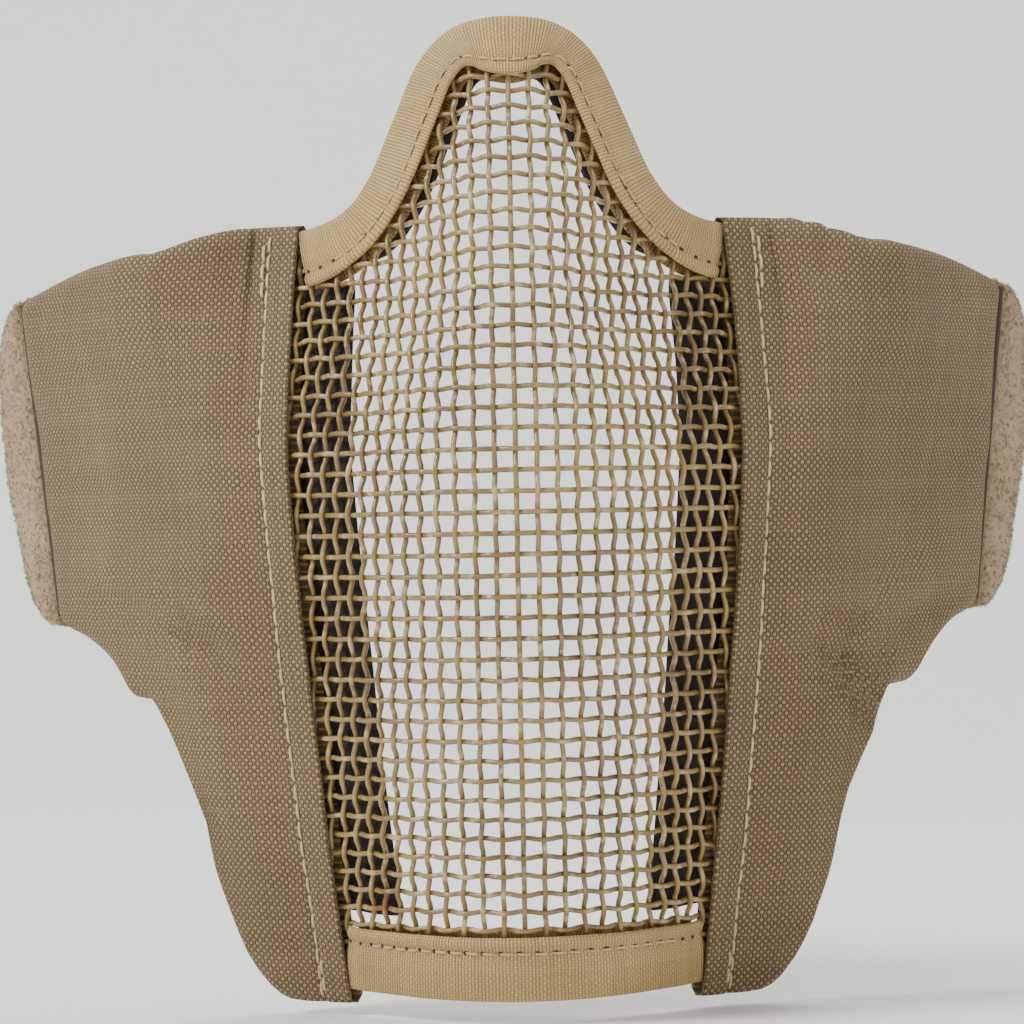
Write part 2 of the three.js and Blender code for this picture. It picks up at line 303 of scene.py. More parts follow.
def strands_piece(name: str, strands: Iterable[Strand], sides: int) -> bpy.types.Object:
    """Make one piece of many closed round strands.

    Args:
        name: The piece's name.
        strands: The strands, in mm.
        sides: Faces round each strand.

    Returns:
        The new object, with the distance along each strand as u.
    """
    points: list[Vector] = []
    faces: list[tuple[int, ...]] = []
    uvs: list[Pair] = []
    angles = [2 * math.pi * k / sides for k in range(sides)]
    turns = [(math.cos(angle), math.sin(angle)) for angle in angles]
    for strand in strands:
        base, lengths = len(points), path_lengths(strand.path)
        last = len(strand.path) - 1
        stations = zip(strand.path, strand.normals, strand.radii)
        for i, (place, normal, radius) in enumerate(stations):
            ahead = (strand.path[min(i + 1, last)] - strand.path[max(i - 1, 0)]).normalized()
            across = ahead.cross(normal).normalized()
            upright = across.cross(ahead)
            points += [place + radius * (c * upright + s * across) for c, s in turns]
        for i in range(last):
            for j in range(sides):
                k = (j + 1) % sides
                row = base + i * sides
                faces.append((row + j, row + k, row + sides + k, row + sides + j))
                v0, v1 = j / sides, (j + 1) / sides
                u0, u1 = lengths[i], lengths[i + 1]
                uvs += [(u0, v0), (u0, v1), (u1, v1), (u1, v0)]
        faces.append(tuple(base + j for j in reversed(range(sides))))
        faces.append(tuple(base + last * sides + j for j in range(sides)))
        uvs += [(0.0, 0.5)] * sides + [(lengths[-1], 0.5)] * sides
    return mesh_piece(name, points, faces, uvs)


def stitches(
    path: Ring, normals: Ring, pitch: float, length: float, radius: float, sink: float = 0.25
) -> list[Strand]:
    """Return a row of separate stitches that dip into the cloth at both ends.

    Args:
        path: The seam's line on the cloth.
        normals: The cloth's outward direction at each of its points.
        pitch: Distance between needle holes.
        length: Length of each stitch.
        radius: Thread radius.
        sink: How far a stitch's ends lie below its middle.

    Returns:
        One strand for each stitch.
    """
    lengths = path_lengths(path)
    out = []
    for number in range(int(lengths[-1] / pitch)):
        middle = (number + 0.5) * pitch
        places, ways, radii = [], [], []
        for k in range(7):
            share = k / 6
            distance = middle + (share - 0.5) * length
            normal = along(normals, lengths, distance).normalized()
            lift = math.sin(math.pi * share) ** 0.6 * sink - sink * 0.55
            places.append(along(path, lengths, distance) + normal * (lift + radius * 0.4))
            ways.append(normal)
            radii.append(radius * (0.55 if k in (0, 6) else 1.0))
        out.append(Strand(tuple(places), tuple(ways), tuple(radii)))
    return out


# ---- the shapes that the mask is built on ----------------------------------------------------


@dataclass(frozen=True)
class Dome:
    """The dome that the wire cloth is pressed into, and the cloth's outline from the front."""

    lip_clearance: float = 21.0
    upper_ridge_radius: float = 118.0
    lower_ridge_radius: float = 154.0
    side_slope: float = 1.17
    ridge_half_width: float = 28.0
    nose_half_width: float = 12.0
    nose_blend_height: float = 50.0
    margin_width: float = 7.0
    margin_slope: float = 0.55
    cheek_width: float = 50.3
    cheek_wide_height: float = 12.0
    chin_width: float = 41.1
    brow_width: float = 48.2
    shoulder_height: float = 54.5
    chin_corner: float = -92.4
    chin_low: float = -93.4
    nose_height: float = 95.5

    def edge_width(self, z: float) -> float:
        """Return the half width of the wire cloth at a height."""
        if z > self.cheek_wide_height:
            span = self.shoulder_height - self.cheek_wide_height
            share = min(1.0, (z - self.cheek_wide_height) / span)
            return lerp(self.cheek_width, self.brow_width, share * share)
        share = (self.cheek_wide_height - z) / (self.cheek_wide_height + 92)
        return lerp(self.cheek_width, self.chin_width, share**1.1)

    def depth(self, x: float, z: float) -> float:
        """Return how far behind its foremost point the dome lies at (x, z)."""
        radius = self.upper_ridge_radius if z > 0 else self.lower_ridge_radius
        narrowing = smoothstep(z, 0, self.nose_blend_height)
        rounded = lerp(self.ridge_half_width, self.nose_half_width, narrowing)
        across = abs(x)
        margin = max(0.0, across - self.edge_width(z) + self.margin_width)
        flat = across - margin
        if flat < rounded:
            slope = self.side_slope * flat * flat / (2 * rounded)
        else:
            slope = self.side_slope * (flat - rounded / 2)
        return z * z / (2 * radius) + slope + self.margin_slope * margin

    def frame_at(self, x: float, z: float) -> tuple[Vector, Vector]:
        """Return the dome's point at (x, z) and its outward direction there."""
        return surface_frame(self.depth, self.lip_clearance, x, z)

    def point(self, x: float, z: float, offset: float = 0.0) -> Vector:
        """Return the dome's point at (x, z), moved outwards by an offset."""
        place, outward = self.frame_at(x, z)
        return place + outward * offset

    def nose_curve(self) -> Curve:
        """Return the upper edge of the wire cloth from left to right."""
        side = (
            (self.brow_width, self.shoulder_height),
            (34.0, 57.3),
            (26.6, 64.4),
            (20.8, 77.5),
            (16.0, 88.1),
            (9.5, self.nose_height - 1.5),
        )
        left = tuple((-x, z) for x, z in side)
        return Curve((*left, (0.0, self.nose_height), *reversed(side)))

    def chin_curve(self) -> Curve:
        """Return the lower edge of the wire cloth from left to right."""
        width, drop = self.chin_width, self.chin_corner - self.chin_low
        shares = [k / 4 - 1 for k in range(9)]
        return Curve(tuple((width * s, self.chin_corner - drop * (1 - s * s)) for s in shares))

    def top_at(self, x: float) -> float:
        """Return the height of the wire cloth's upper edge at x."""
        table = [(0.0, self.nose_height), (5.5, 95.2), (9.5, 94.0), (13.3, 91.5), (16.0, 88.1)]
        table += [(20.8, 77.5), (23.6, 70.9), (26.6, 64.4), (29.9, 60.4), (34.0, 57.3)]
        return knots([*table, (self.brow_width, self.shoulder_height)], abs(x))

    def holds(self, x: float, z: float) -> bool:
        """Return whether (x, z) lies on the wire cloth."""
        inside = abs(x) < self.edge_width(z) - 0.6
        return inside and self.chin_corner < z < self.top_at(x) - 0.6


def surface_frame(
    depth: Callable[[float, float], float], lip_clearance: float, x: float, z: float
) -> tuple[Vector, Vector]:
    """Return a surface's point at (x, z) and its outward direction.

    Args:
        depth: Gives the surface's depth behind the mask's foremost point.
        lip_clearance: From the foremost point back to the origin.
        x: Across the mask.
        z: Up the mask.

    Returns:
        The point and the unit direction, in mm.
    """
    step = 0.5
    slope_x = (depth(x + step, z) - depth(x - step, z)) / (2 * step)
    slope_z = (depth(x, z + step) - depth(x, z - step)) / (2 * step)
    return Vector((x, depth(x, z) - lip_clearance, z)), Vector((slope_x, -1, slope_z)).normalized()


@dataclass(frozen=True)
class Wing:
    """The middle surface of a wing: a cheek panel bowed round the jaw, then a flat ear flap.

    A place on it is a distance s from the edge of the wire cloth, and a share v of the way from
    its lower to its upper edge. The hem that covers the wire cloth has s below 0.
    """

    dome: Dome = Dome()
    fold_x: float = 74.0
    fold_depth: float = 60.0
    fold_half_gap: float = 2.5
    fold_top: float = 53.3
    fold_bottom: float = -36.0
    panel_top: float = 58.0
    panel_bottom: float = -97.0
    bulge: float = 1.35
    jaw_bow: float = 16.0
    edge_gap: float = 2.3
    cheek_run: float = 30.0
    bridge_run: float = 6.7
    ear_angle: float = 57.0
    seam_low: float = 32.5
    seam_high: float = 44.5
    rear_low: float = -19.0
    rear_high: float = 35.0
    jaw: Curve = Curve(
        (
            (43.3, -97.0),
            (47.5, -95.8),
            (51.9, -90.6),
            (55.8, -81.0),
            (58.7, -71.0),
            (61.0, -59.6),
            (65.9, -46.5),
            (71.5, -36.0),
        )
    )
    ear_top: tuple[Pair, ...] = (
        (2.5, 53.3),
        (22.0, 51.3),
        (41.1, 47.6),
        (49.1, 45.4),
        (54.6, 41.5),
        (58.1, 35.0),
    )
    ear_bottom: tuple[Pair, ...] = (
        (2.5, -36.0),
        (10.0, -29.6),
        (20.0, -24.8),
        (30.0, -22.2),
        (35.5, -21.0),
        (42.0, -18.4),
        (46.5, -13.0),
        (51.0, -3.0),
        (56.2, 12.0),
        (58.5, 29.0),
    )
    ear_rear: tuple[Pair, ...] = (
        (-22.2, 30.0),
        (-21.0, 36.5),
        (-18.4, 42.0),
        (-13.0, 46.5),
        (-3.0, 51.0),
        (12.0, 56.2),
        (29.0, 58.5),
        (35.0, 58.1),
        (41.5, 54.6),
        (45.4, 49.1),
        (47.6, 41.1),
    )

    def panel_edge(self, z: float) -> float:
        """Return where the cheek panel starts, across the mask, at a height."""
        return self.dome.edge_width(z) + self.edge_gap

    def panel_depth(self, x: float, z: float) -> float:
        """Return the cheek panel's depth at (x, z)."""
        start = self.panel_edge(z)
        share = min(1.0, max(0.0, (x - start) / (self.fold_x - start)))
        back = self.fold_depth + self.jaw_bow * smoothstep(self.fold_bottom - z, 0, 60)
        return lerp(self.dome.depth(start, z), back, share**self.bulge)

    def ear_frame(self, e: float, inward: float, z: float) -> Vector:
        """Return the point e along the flap from its fold, a distance into the mask, at z."""
        c, s = math.cos(math.radians(self.ear_angle)), math.sin(math.radians(self.ear_angle))
        fold_y = self.fold_depth - self.dome.lip_clearance
        return Vector((self.fold_x + e * c - inward * s, fold_y + e * s + inward * c, z))

    def ear_outward(self) -> Vector:
        """Return the flap's outward direction."""
        return (self.ear_frame(0, -1, 0) - self.ear_frame(0, 0, 0)).normalized()

    def ear_height(self, e: float, v: float) -> float:
        """Return the height at a share v up the flap, e along it."""
        return lerp(knots(self.ear_bottom, e), knots(self.ear_top, e), v)

    def seam(self, z: float) -> float:
        """Return how far along the flap the outer pile starts, at a height."""
        slope = (self.seam_high - self.seam_low) / (self.rear_high - self.rear_low)
        return self.seam_low + slope * (z - self.rear_low)

    def seam_on(self, v: float, extra: float = 0.0) -> float:
        """Return where a line of constant v meets the pile's seam, plus an extra."""
        e = 40.0
        for _ in range(8):
            e = self.seam(self.ear_height(e, v)) + extra
        return e

    def cheek_frame(self, u: float, v: float) -> tuple[Vector, Vector]:
        """Return the cheek panel's point and outward direction at shares u across and v up it."""
        low_x, low_z = self.jaw.at(u)
        top_x = lerp(self.panel_edge(self.panel_top), self.fold_x - self.fold_half_gap, u)
        top_z = lerp(self.panel_top, self.fold_top, u**1.6)
        z = lerp(low_z, top_z, v)
        hem_x = self.panel_edge(lerp(self.panel_bottom, self.panel_top, v))
        straight = lerp(self.panel_edge(self.panel_bottom), self.panel_edge(self.panel_top), v)
        x = lerp(low_x, top_x, v) + (hem_x - straight) * (1 - u)
        return surface_frame(self.panel_depth, self.dome.lip_clearance, x, z)

    def frame_at(self, s: float, v: float) -> tuple[Vector, Vector]:
        """Return the wing's middle point and outward direction at (s, v)."""
        if s < self.edge_gap:
            z = lerp(self.panel_bottom, self.panel_top, v)
            reach = 0.876 if s < 0 else 1.0
            return self.dome.frame_at(self.dome.edge_width(z) + s * reach, z)
        cheek_end = self.edge_gap + self.cheek_run
        if s <= cheek_end:
            return self.cheek_frame((s - self.edge_gap) / self.cheek_run, v)
        e = s - cheek_end - self.bridge_run + self.fold_half_gap
        if e >= self.fold_half_gap:
            return self.ear_frame(e, 0, self.ear_height(e, v)), self.ear_outward()
        share = (s - cheek_end) / self.bridge_run
        near, near_out = self.cheek_frame(1.0, v)
        start = self.fold_half_gap
        far = self.ear_frame(start, 0, self.ear_height(start, v))
        return near.lerp(far, share), near_out.lerp(self.ear_outward(), share).normalized()

    def s_of(self, e: float) -> float:
        """Return the distance s of a place e along the flap."""
        return e - self.fold_half_gap + self.edge_gap + self.cheek_run + self.bridge_run


def sided(side: Side, place: Vector) -> Vector:
    """Return a right-side point on the given side."""
    return Vector((place.x * side.value, place.y, place.z))


# ---- finishes ----------------------------------------------------------------------------------

Value = bpy.types.NodeSocket | float | Sequence[float]
VECTOR, NUMBER = "NodeSocketVector", "NodeSocketFloat"


def tone(red: int, green: int, blue: int) -> tuple[float, float, float, float]:
    """Return a colour given in display values from 0 to 255 as the renderer's linear colour."""

    def linear(value: int) -> float:
        """Return one channel's linear value."""
        share = value / 255
        return share / 12.92 if share <= 0.04045 else ((share + 0.055) / 1.055) ** 2.4

    return (linear(red), linear(green), linear(blue), 1.0)


class Graph:
    """A node tree, with short ways to add nodes and join them."""

    def __init__(self, tree: bpy.types.NodeTree) -> None:
        """Keep the tree that nodes are added to."""
        self.tree = tree

    def node(self, kind: str, **settings: object) -> bpy.types.Node:
        """Add a node of a kind, with these settings."""
        node = self.tree.nodes.new(f"ShaderNode{kind}" if "Node" not in kind else kind)
        for key, value in settings.items():
            setattr(node, key, value)
        return node

    def feed(self, socket: bpy.types.NodeSocket, value: Value) -> None:
        """Join a value to an input, or set the input to it."""
        if isinstance(value, bpy.types.NodeSocket):
            self.tree.links.new(value, socket)
        else:
            socket.default_value = value

    def math(self, operation: str, *values: Value, clamp: bool = False) -> bpy.types.NodeSocket:
        """Return the result of a Math node."""
        node = self.node("Math", operation=operation, use_clamp=clamp)
        for socket, value in zip(node.inputs, values):
            self.feed(socket, value)
        return node.outputs[0]

    def vector(self, operation: str, *values: Value) -> bpy.types.NodeSocket:
        """Return the result of a Vector Math node."""
        node = self.node("VectorMath", operation=operation)
        for socket, value in zip(node.inputs, values):
            self.feed(socket, value)
        return node.outputs["Value" if operation in ("DISTANCE", "LENGTH") else "Vector"]

    def millimetres(self) -> bpy.types.NodeSocket:
        """Return the place on the piece, in mm."""
        place = self.node("TexCoord").outputs["Object"]
        return self.vector("MULTIPLY", place, (1000, 1000, 1000))

    def cloth_map(self) -> bpy.types.NodeSocket:
        """Return the place on the cloth as (u, v, 0), in mm."""
        return self.node("UVMap", uv_map="cloth").outputs["UV"]

    def parts(self, vector: Value) -> Sequence[bpy.types.NodeSocket]:
        """Return a vector's three parts."""
        node = self.node("SeparateXYZ")
        self.feed(node.inputs[0], vector)
        return node.outputs

    def noise(self, vector: Value, size: float, detail: float = 2.0) -> bpy.types.NodeSocket:
        """Return smooth noise whose features are about a size apart."""
        node = self.node("TexNoise")
        self.feed(node.inputs["Vector"], vector)
        node.inputs["Scale"].default_value = 1 / size
        node.inputs["Detail"].default_value = detail
        return node.outputs["Fac"]

    def rise(self, value: Value, low: float, high: float) -> bpy.types.NodeSocket:
        """Return a smooth rise from 0 at low to 1 at high."""
        node = self.node("MapRange", interpolation_type="SMOOTHSTEP")
        for label, number in (("Value", value), ("From Min", low), ("From Max", high)):
            self.feed(node.inputs[label], number)
        return node.outputs["Result"]

    def blend(self, share: Value, first: Value, second: Value) -> bpy.types.NodeSocket:
        """Return a colour between two."""
        node = self.node("Mix", data_type="RGBA")
        self.feed(node.inputs[0], share)
        self.feed(node.inputs[6], first)
        self.feed(node.inputs[7], second)
        return node.outputs[2]

    def choose(self, share: Value, first: Value, second: Value) -> bpy.types.NodeSocket:
        """Return a number between two."""
        node = self.node("Mix", data_type="FLOAT")
        for place, value in ((0, share), (2, first), (3, second)):
            self.feed(node.inputs[place], value)
        return node.outputs[0]

    def effect(self, tree: bpy.types.NodeTree, **values: Value) -> Sequence[bpy.types.NodeSocket]:
        """Place a shared effect with these values and return its outputs."""
        node = self.node("Group")
        node.node_tree = tree
        for label, value in values.items():
            self.feed(node.inputs[label.replace("_", " ")], value)
        return node.outputs

    def bump(self, height: Value, depth: float, strength: float = 1.0) -> bpy.types.NodeSocket:
        """Return the normal of a relief whose height of 1 stands for a depth in mm."""
        node = self.node("Bump")
        self.feed(node.inputs["Height"], height)
        node.inputs["Distance"].default_value = depth * MM
        node.inputs["Strength"].default_value = strength
        return node.outputs["Normal"]


Draw = Callable[[Graph, Sequence[bpy.types.NodeSocket]], dict[str, Value]]


def new_effect(
    name: str, inputs: dict[str, str], outputs: Sequence[str], draw: Draw
) -> bpy.types.NodeTree:
    """Make a shared shader effect.

    Args:
        name: The effect's name.
        inputs: Socket kinds by label.
        outputs: Labels of the values that it puts out.
        draw: Draws its nodes and returns its outputs by label.

    Returns:
        The node group.
    """
    tree = bpy.data.node_groups.new(name, "ShaderNodeTree")
    for label, kind in inputs.items():
        tree.interface.new_socket(label, in_out="INPUT", socket_type=kind)
    for label in outputs:
        tree.interface.new_socket(label, in_out="OUTPUT", socket_type=NUMBER)
    graph = Graph(tree)
    start, end = graph.node("NodeGroupInput"), graph.node("NodeGroupOutput")
    for label, value in draw(graph, start.outputs).items():
        graph.feed(end.inputs[label], value)
    return tree


def draw_plain_weave(graph: Graph, given: Sequence[bpy.types.NodeSocket]) -> dict[str, Value]:
    """Draw over-and-under threads both ways, with a shade for each thread."""
    stray = graph.node("TexNoise")
    graph.feed(stray.inputs["Vector"], given["Place"])
    stray.inputs["Scale"].default_value = 0.22
    push = graph.vector("SUBTRACT", stray.outputs["Color"], (0.5, 0.5, 0.5))
    u, v, _ = graph.parts(graph.vector("ADD", given["Place"], push))
    across = graph.math("DIVIDE", u, given["Pitch"])
    upright = graph.math("DIVIDE", v, given["Pitch"])
    column, row = graph.math("FLOOR", across), graph.math("FLOOR", upright)
    fu = graph.math("SUBTRACT", graph.math("FRACT", across), 0.5)
    fv = graph.math("SUBTRACT", graph.math("FRACT", upright), 0.5)

    def thread(section: Value, run: Value, number: Value) -> bpy.types.NodeSocket:
        """Return the height of a round thread that rises and dips once in two cells."""
        edge = graph.math("POWER", graph.math("MULTIPLY", section, 2.1), 2.0)
        inside = graph.math("MAXIMUM", graph.math("SUBTRACT", 1.0, edge), 0.0)
        round_it = graph.math("SQRT", inside)
        turn = graph.math("ADD", graph.math("SUBTRACT", run, 0.5), number)
        arc = graph.math("COSINE", graph.math("MULTIPLY", turn, math.pi))
        return graph.math("MULTIPLY_ADD", round_it, 0.5, graph.math("MULTIPLY", arc, 0.5))

    warp = thread(fu, upright, column)
    weft = thread(fv, across, graph.math("ADD", row, 1.0))
    weft = graph.math("MULTIPLY_ADD", weft, 0.75, -0.1)
    height = graph.math("MAXIMUM", warp, weft)
    over = graph.rise(graph.math("SUBTRACT", warp, weft), -0.08, 0.08)
    number = graph.choose(graph.math("ROUND", over), graph.math("ADD", row, 431.0), column)
    shade = graph.node("TexWhiteNoise", noise_dimensions="1D")
    graph.feed(shade.inputs["W"], number)
    return {
        "Height": height,
        # The low places between threads, used to paint shade into them.
        "Gap": graph.math("SUBTRACT", 1.0, graph.rise(height, 0.2, 0.8)),
        "Shade": shade.outputs["Value"],
        "Over": over,
    }


def draw_ribs(graph: Graph, given: Sequence[bpy.types.NodeSocket]) -> dict[str, Value]:
    """Draw rounded ribs a pitch apart, with a shade for each rib."""
    turns = graph.math("DIVIDE", given["Distance"], given["Pitch"])
    off = graph.math("SUBTRACT", graph.math("FRACT", turns), 0.5)
    edge = graph.math("POWER", graph.math("ABSOLUTE", graph.math("MULTIPLY", off, 2.0)), 2.2)
    shade = graph.node("TexWhiteNoise", noise_dimensions="1D")
    graph.feed(shade.inputs["W"], graph.math("FLOOR", turns))
    height = graph.math("SUBTRACT", 1.0, edge)
    # The low places between ribs, used to paint shade into them.
    gap = graph.math("SUBTRACT", 1.0, graph.rise(height, 0.05, 0.5))
    return {"Height": height, "Gap": gap, "Shade": shade.outputs["Value"]}


def draw_mottle(graph: Graph, given: Sequence[bpy.types.NodeSocket]) -> dict[str, Value]:
    """Draw soft patches, and fine specks a thirtieth of their size."""
    outputs = {}
    for label, share, detail in (("Patches", 1.0, 3.0), ("Specks", 30.0, 2.0)):
        node = graph.node("TexNoise")
        graph.feed(node.inputs["Vector"], given["Place"])
        graph.feed(node.inputs["Scale"], graph.math("DIVIDE", share, given["Size"]))
        node.inputs["Detail"].default_value = detail
        outputs[label] = node.outputs["Fac"]
    return outputs


def draw_fuzz(graph: Graph, given: Sequence[bpy.types.NodeSocket]) -> dict[str, Value]:
    """Draw short tangled fibres as thin bright lines over hollows."""
    node = graph.node("TexNoise")
    graph.feed(node.inputs["Vector"], given["Place"])
    graph.feed(node.inputs["Scale"], graph.math("DIVIDE", 1.0, given["Size"]))
    node.inputs["Detail"].default_value = 4.0
    node.inputs["Distortion"].default_value = 1.6
    off = graph.math("ABSOLUTE", graph.math("SUBTRACT", node.outputs["Fac"], 0.5))
    fibre = graph.math("SUBTRACT", 1.0, graph.rise(off, 0.0, 0.12))
    return {"Fibre": fibre, "Hollow": graph.math("SUBTRACT", 1.0, node.outputs["Fac"])}


class Effects:
    """The shared effects, each made once."""

    def __init__(self) -> None:
        """Make the node groups."""
        pitch = {"Place": VECTOR, "Pitch": NUMBER}
        size = {"Place": VECTOR, "Size": NUMBER}
        ribs = {"Distance": NUMBER, "Pitch": NUMBER}
        threads = ("Height", "Gap", "Shade")
        woven = (*threads, "Over")
        self.plain_weave = new_effect("plain weave", pitch, woven, draw_plain_weave)
        self.ribs = new_effect("ribs", ribs, threads, draw_ribs)
        self.mottle = new_effect("mottle", size, ("Patches", "Specks"), draw_mottle)
        self.fuzz = new_effect("fuzz", size, ("Fibre", "Hollow"), draw_fuzz)


@functools.cache
def effects() -> Effects:
    """Return the shared effects."""
    return Effects()


@dataclass(frozen=True)
class Finish:
    """A finish: the name of its material, its slot and the plain values of its shader."""

    name: str
    slot: str
    roughness: float = 0.8
    sheen: float = 0.0
    coat: float = 0.0
    metallic: float = 0.0

    def draw(self, graph: Graph) -> dict[str, Value]:
        """Draw the finish and return what feeds the shader, by socket."""
        raise NotImplementedError

    @functools.cache
    def material(self) -> bpy.types.Material:
        """Make the finish's material."""
        made = bpy.data.materials.new(self.name)
        made.use_nodes = True
        graph = Graph(made.node_tree)
        shader = made.node_tree.nodes["Principled BSDF"]
        shader.inputs["Roughness"].default_value = self.roughness
        shader.inputs["Sheen Weight"].default_value = self.sheen
        shader.inputs["Coat Weight"].default_value = self.coat
        shader.inputs["Metallic"].default_value = self.metallic
        for label, value in self.draw(graph).items():
            graph.feed(shader.inputs[label], value)
        return made


def dress(piece: bpy.types.Object, finish: Finish) -> None:
    """Give a piece its finish."""
    piece.data.materials.clear()
    piece.data.materials.append(finish.material())


@dataclass(frozen=True)
class WingWeave(Finish):
    """Coarse plain-woven pack cloth in coyote brown."""

    pitch: float = 0.74
    light: tuple[float, ...] = tone(172, 147, 106)
    dark: tuple[float, ...] = tone(116, 95, 62)
    # Painted shade in the gaps between threads.
    gap: tuple[float, ...] = tone(48, 37, 22)

    def draw(self, graph: Graph) -> dict[str, Value]:
        """Draw the weave, uneven threads, paler rubbed patches and painted gap shade."""
        cloth, place = graph.cloth_map(), graph.millimetres()
        weave = graph.effect(effects().plain_weave, Place=cloth, Pitch=self.pitch)
        mottle = graph.effect(effects().mottle, Place=place, Size=30.0)
        fuzz = graph.effect(effects().fuzz, Place=place, Size=0.45)
        share = graph.math("MULTIPLY_ADD", mottle["Patches"], 0.6, -0.4)
        share = graph.math("MULTIPLY_ADD", weave["Over"], 0.55, share)
        share = graph.math("MULTIPLY_ADD", weave["Shade"], 0.3, share)
        share = graph.math("MULTIPLY_ADD", fuzz["Fibre"], 0.15, share, clamp=True)
        colour = graph.blend(share, self.dark, self.light)
        # Painted shade: the weave's gaps are darkened towards the gap colour.
        colour = graph.blend(graph.math("MULTIPLY", weave["Gap"], 0.85), colour, self.gap)
        height = graph.math("MULTIPLY_ADD", fuzz["Fibre"], 0.12, weave["Height"])
        rough = graph.math("MULTIPLY_ADD", weave["Height"], -0.14, 0.92)
        return {
            "Base Color": colour,
            "Roughness": rough,
            "Normal": graph.bump(height, 0.36),
        }


@dataclass(frozen=True)
class RibbedTape(Finish):
    """Pale tan binding tape with ribs across it, and needle holes along its seam."""

    pitch: float = 0.66
    stitch_pitch: float = 3.4
    light: tuple[float, ...] = tone(218, 189, 126)
    dark: tuple[float, ...] = tone(172, 141, 85)
    # Painted shade in the dips between ribs and threads, and the needle holes' colour.
    gap: tuple[float, ...] = tone(98, 73, 38)

    def draw(self, graph: Graph) -> dict[str, Value]:
        """Draw the broken ribs, the fine threads on them, painted dip shade and the holes."""
        place = graph.millimetres()
        u, v, _ = graph.parts(graph.cloth_map())
        ribs = graph.effect(effects().ribs, Distance=u, Pitch=self.pitch)
        weave = graph.effect(effects().plain_weave, Place=graph.cloth_map(), Pitch=self.pitch)
        mottle = graph.effect(effects().mottle, Place=place, Size=22.0)
        fuzz = graph.effect(effects().fuzz, Place=place, Size=0.4)
        share = graph.math("MULTIPLY_ADD", mottle["Patches"], 0.8, -0.2)
        share = graph.math("MULTIPLY_ADD", weave["Shade"], 0.35, share)
        share = graph.math("MULTIPLY_ADD", fuzz["Fibre"], 0.2, share, clamp=True)
        colour = graph.blend(share, self.dark, self.light)
        # Painted shade in the dips between the ribs and between the threads.
        dip_shade = graph.math("MULTIPLY", ribs["Gap"], 0.25)
        dip_shade = graph.math("MULTIPLY_ADD", weave["Gap"], 0.5, dip_shade, clamp=True)
        turns = graph.math("MULTIPLY_ADD", u, 1 / self.stitch_pitch, 0.5)
        off = graph.math("SUBTRACT", graph.math("FRACT", turns), 0.5)
        off = graph.math("MULTIPLY", off, self.stitch_pitch)
        squares = graph.math("MULTIPLY_ADD", off, off, graph.math("MULTIPLY", v, v))
        far = graph.math("SQRT", squares)
        hole = graph.math("SUBTRACT", 1.0, graph.rise(far, 0.28, 0.62))
        colour = graph.blend(graph.math("MAXIMUM", dip_shade, hole), colour, self.gap)
        colour = graph.blend(graph.math("MULTIPLY", hole, 0.85), colour, tone(38, 29, 20))
        height = graph.math("MULTIPLY_ADD", weave["Height"], 0.7, ribs["Height"])
        height = graph.math("MULTIPLY_ADD", hole, -2.0, height)
        return {"Base Color": colour, "Normal": graph.bump(height, 0.2)}


@dataclass(frozen=True)
class PaintedWire(Finish):
    """Khaki paint on steel wire, thin on the crowns, with rust low on one side."""

    paint: tuple[float, ...] = tone(154, 128, 78)
    deep: tuple[float, ...] = tone(116, 92, 50)
    pale: tuple[float, ...] = tone(208, 186, 138)
    rust: tuple[float, ...] = tone(122, 76, 42)

    def draw(self, graph: Graph) -> dict[str, Value]:
        """Draw the paint, its thin places and the rust."""
        place = graph.millimetres()
        mottle = graph.effect(effects().mottle, Place=place, Size=26.0)
        grain = graph.noise(place, 0.35, 3.0)
        thin = graph.noise(place, 2.6, 3.0)
        colour = graph.blend(graph.rise(mottle["Patches"], 0.3, 0.7), self.deep, self.paint)
        crowns = graph.math("MULTIPLY", graph.rise(thin, 0.5, 0.72), 0.7)
        colour = graph.blend(crowns, colour, self.pale)
        x, _, z = graph.parts(place)
        flat = graph.node("CombineXYZ")
        graph.feed(flat.inputs["X"], x)
        graph.feed(flat.inputs["Y"], z)
        far = graph.vector("DISTANCE", flat.outputs[0], (-27.0, -75.5, 0.0))
        ragged = graph.math("MULTIPLY_ADD", graph.noise(place, 1.9, 4.0), 9.0, far)
        spot = graph.math("SUBTRACT", 1.0, graph.rise(ragged, 5.4, 8.6))
        stray = graph.rise(graph.noise(place, 4.2, 4.0), 0.7, 0.78)
        rust = graph.math("MAXIMUM", spot, graph.math("MULTIPLY", stray, 0.6))
        colour = graph.blend(rust, colour, self.rust)
        rough = graph.math("MULTIPLY_ADD", grain, 0.2, 0.2)
        rough = graph.math("MULTIPLY_ADD", rust, 0.35, rough, clamp=True)
        height = graph.math("MULTIPLY_ADD", rust, 0.6, grain)
        return {
            "Base Color": colour,
            "Roughness": rough,
            "Normal": graph.bump(height, 0.05, 0.5),
        }


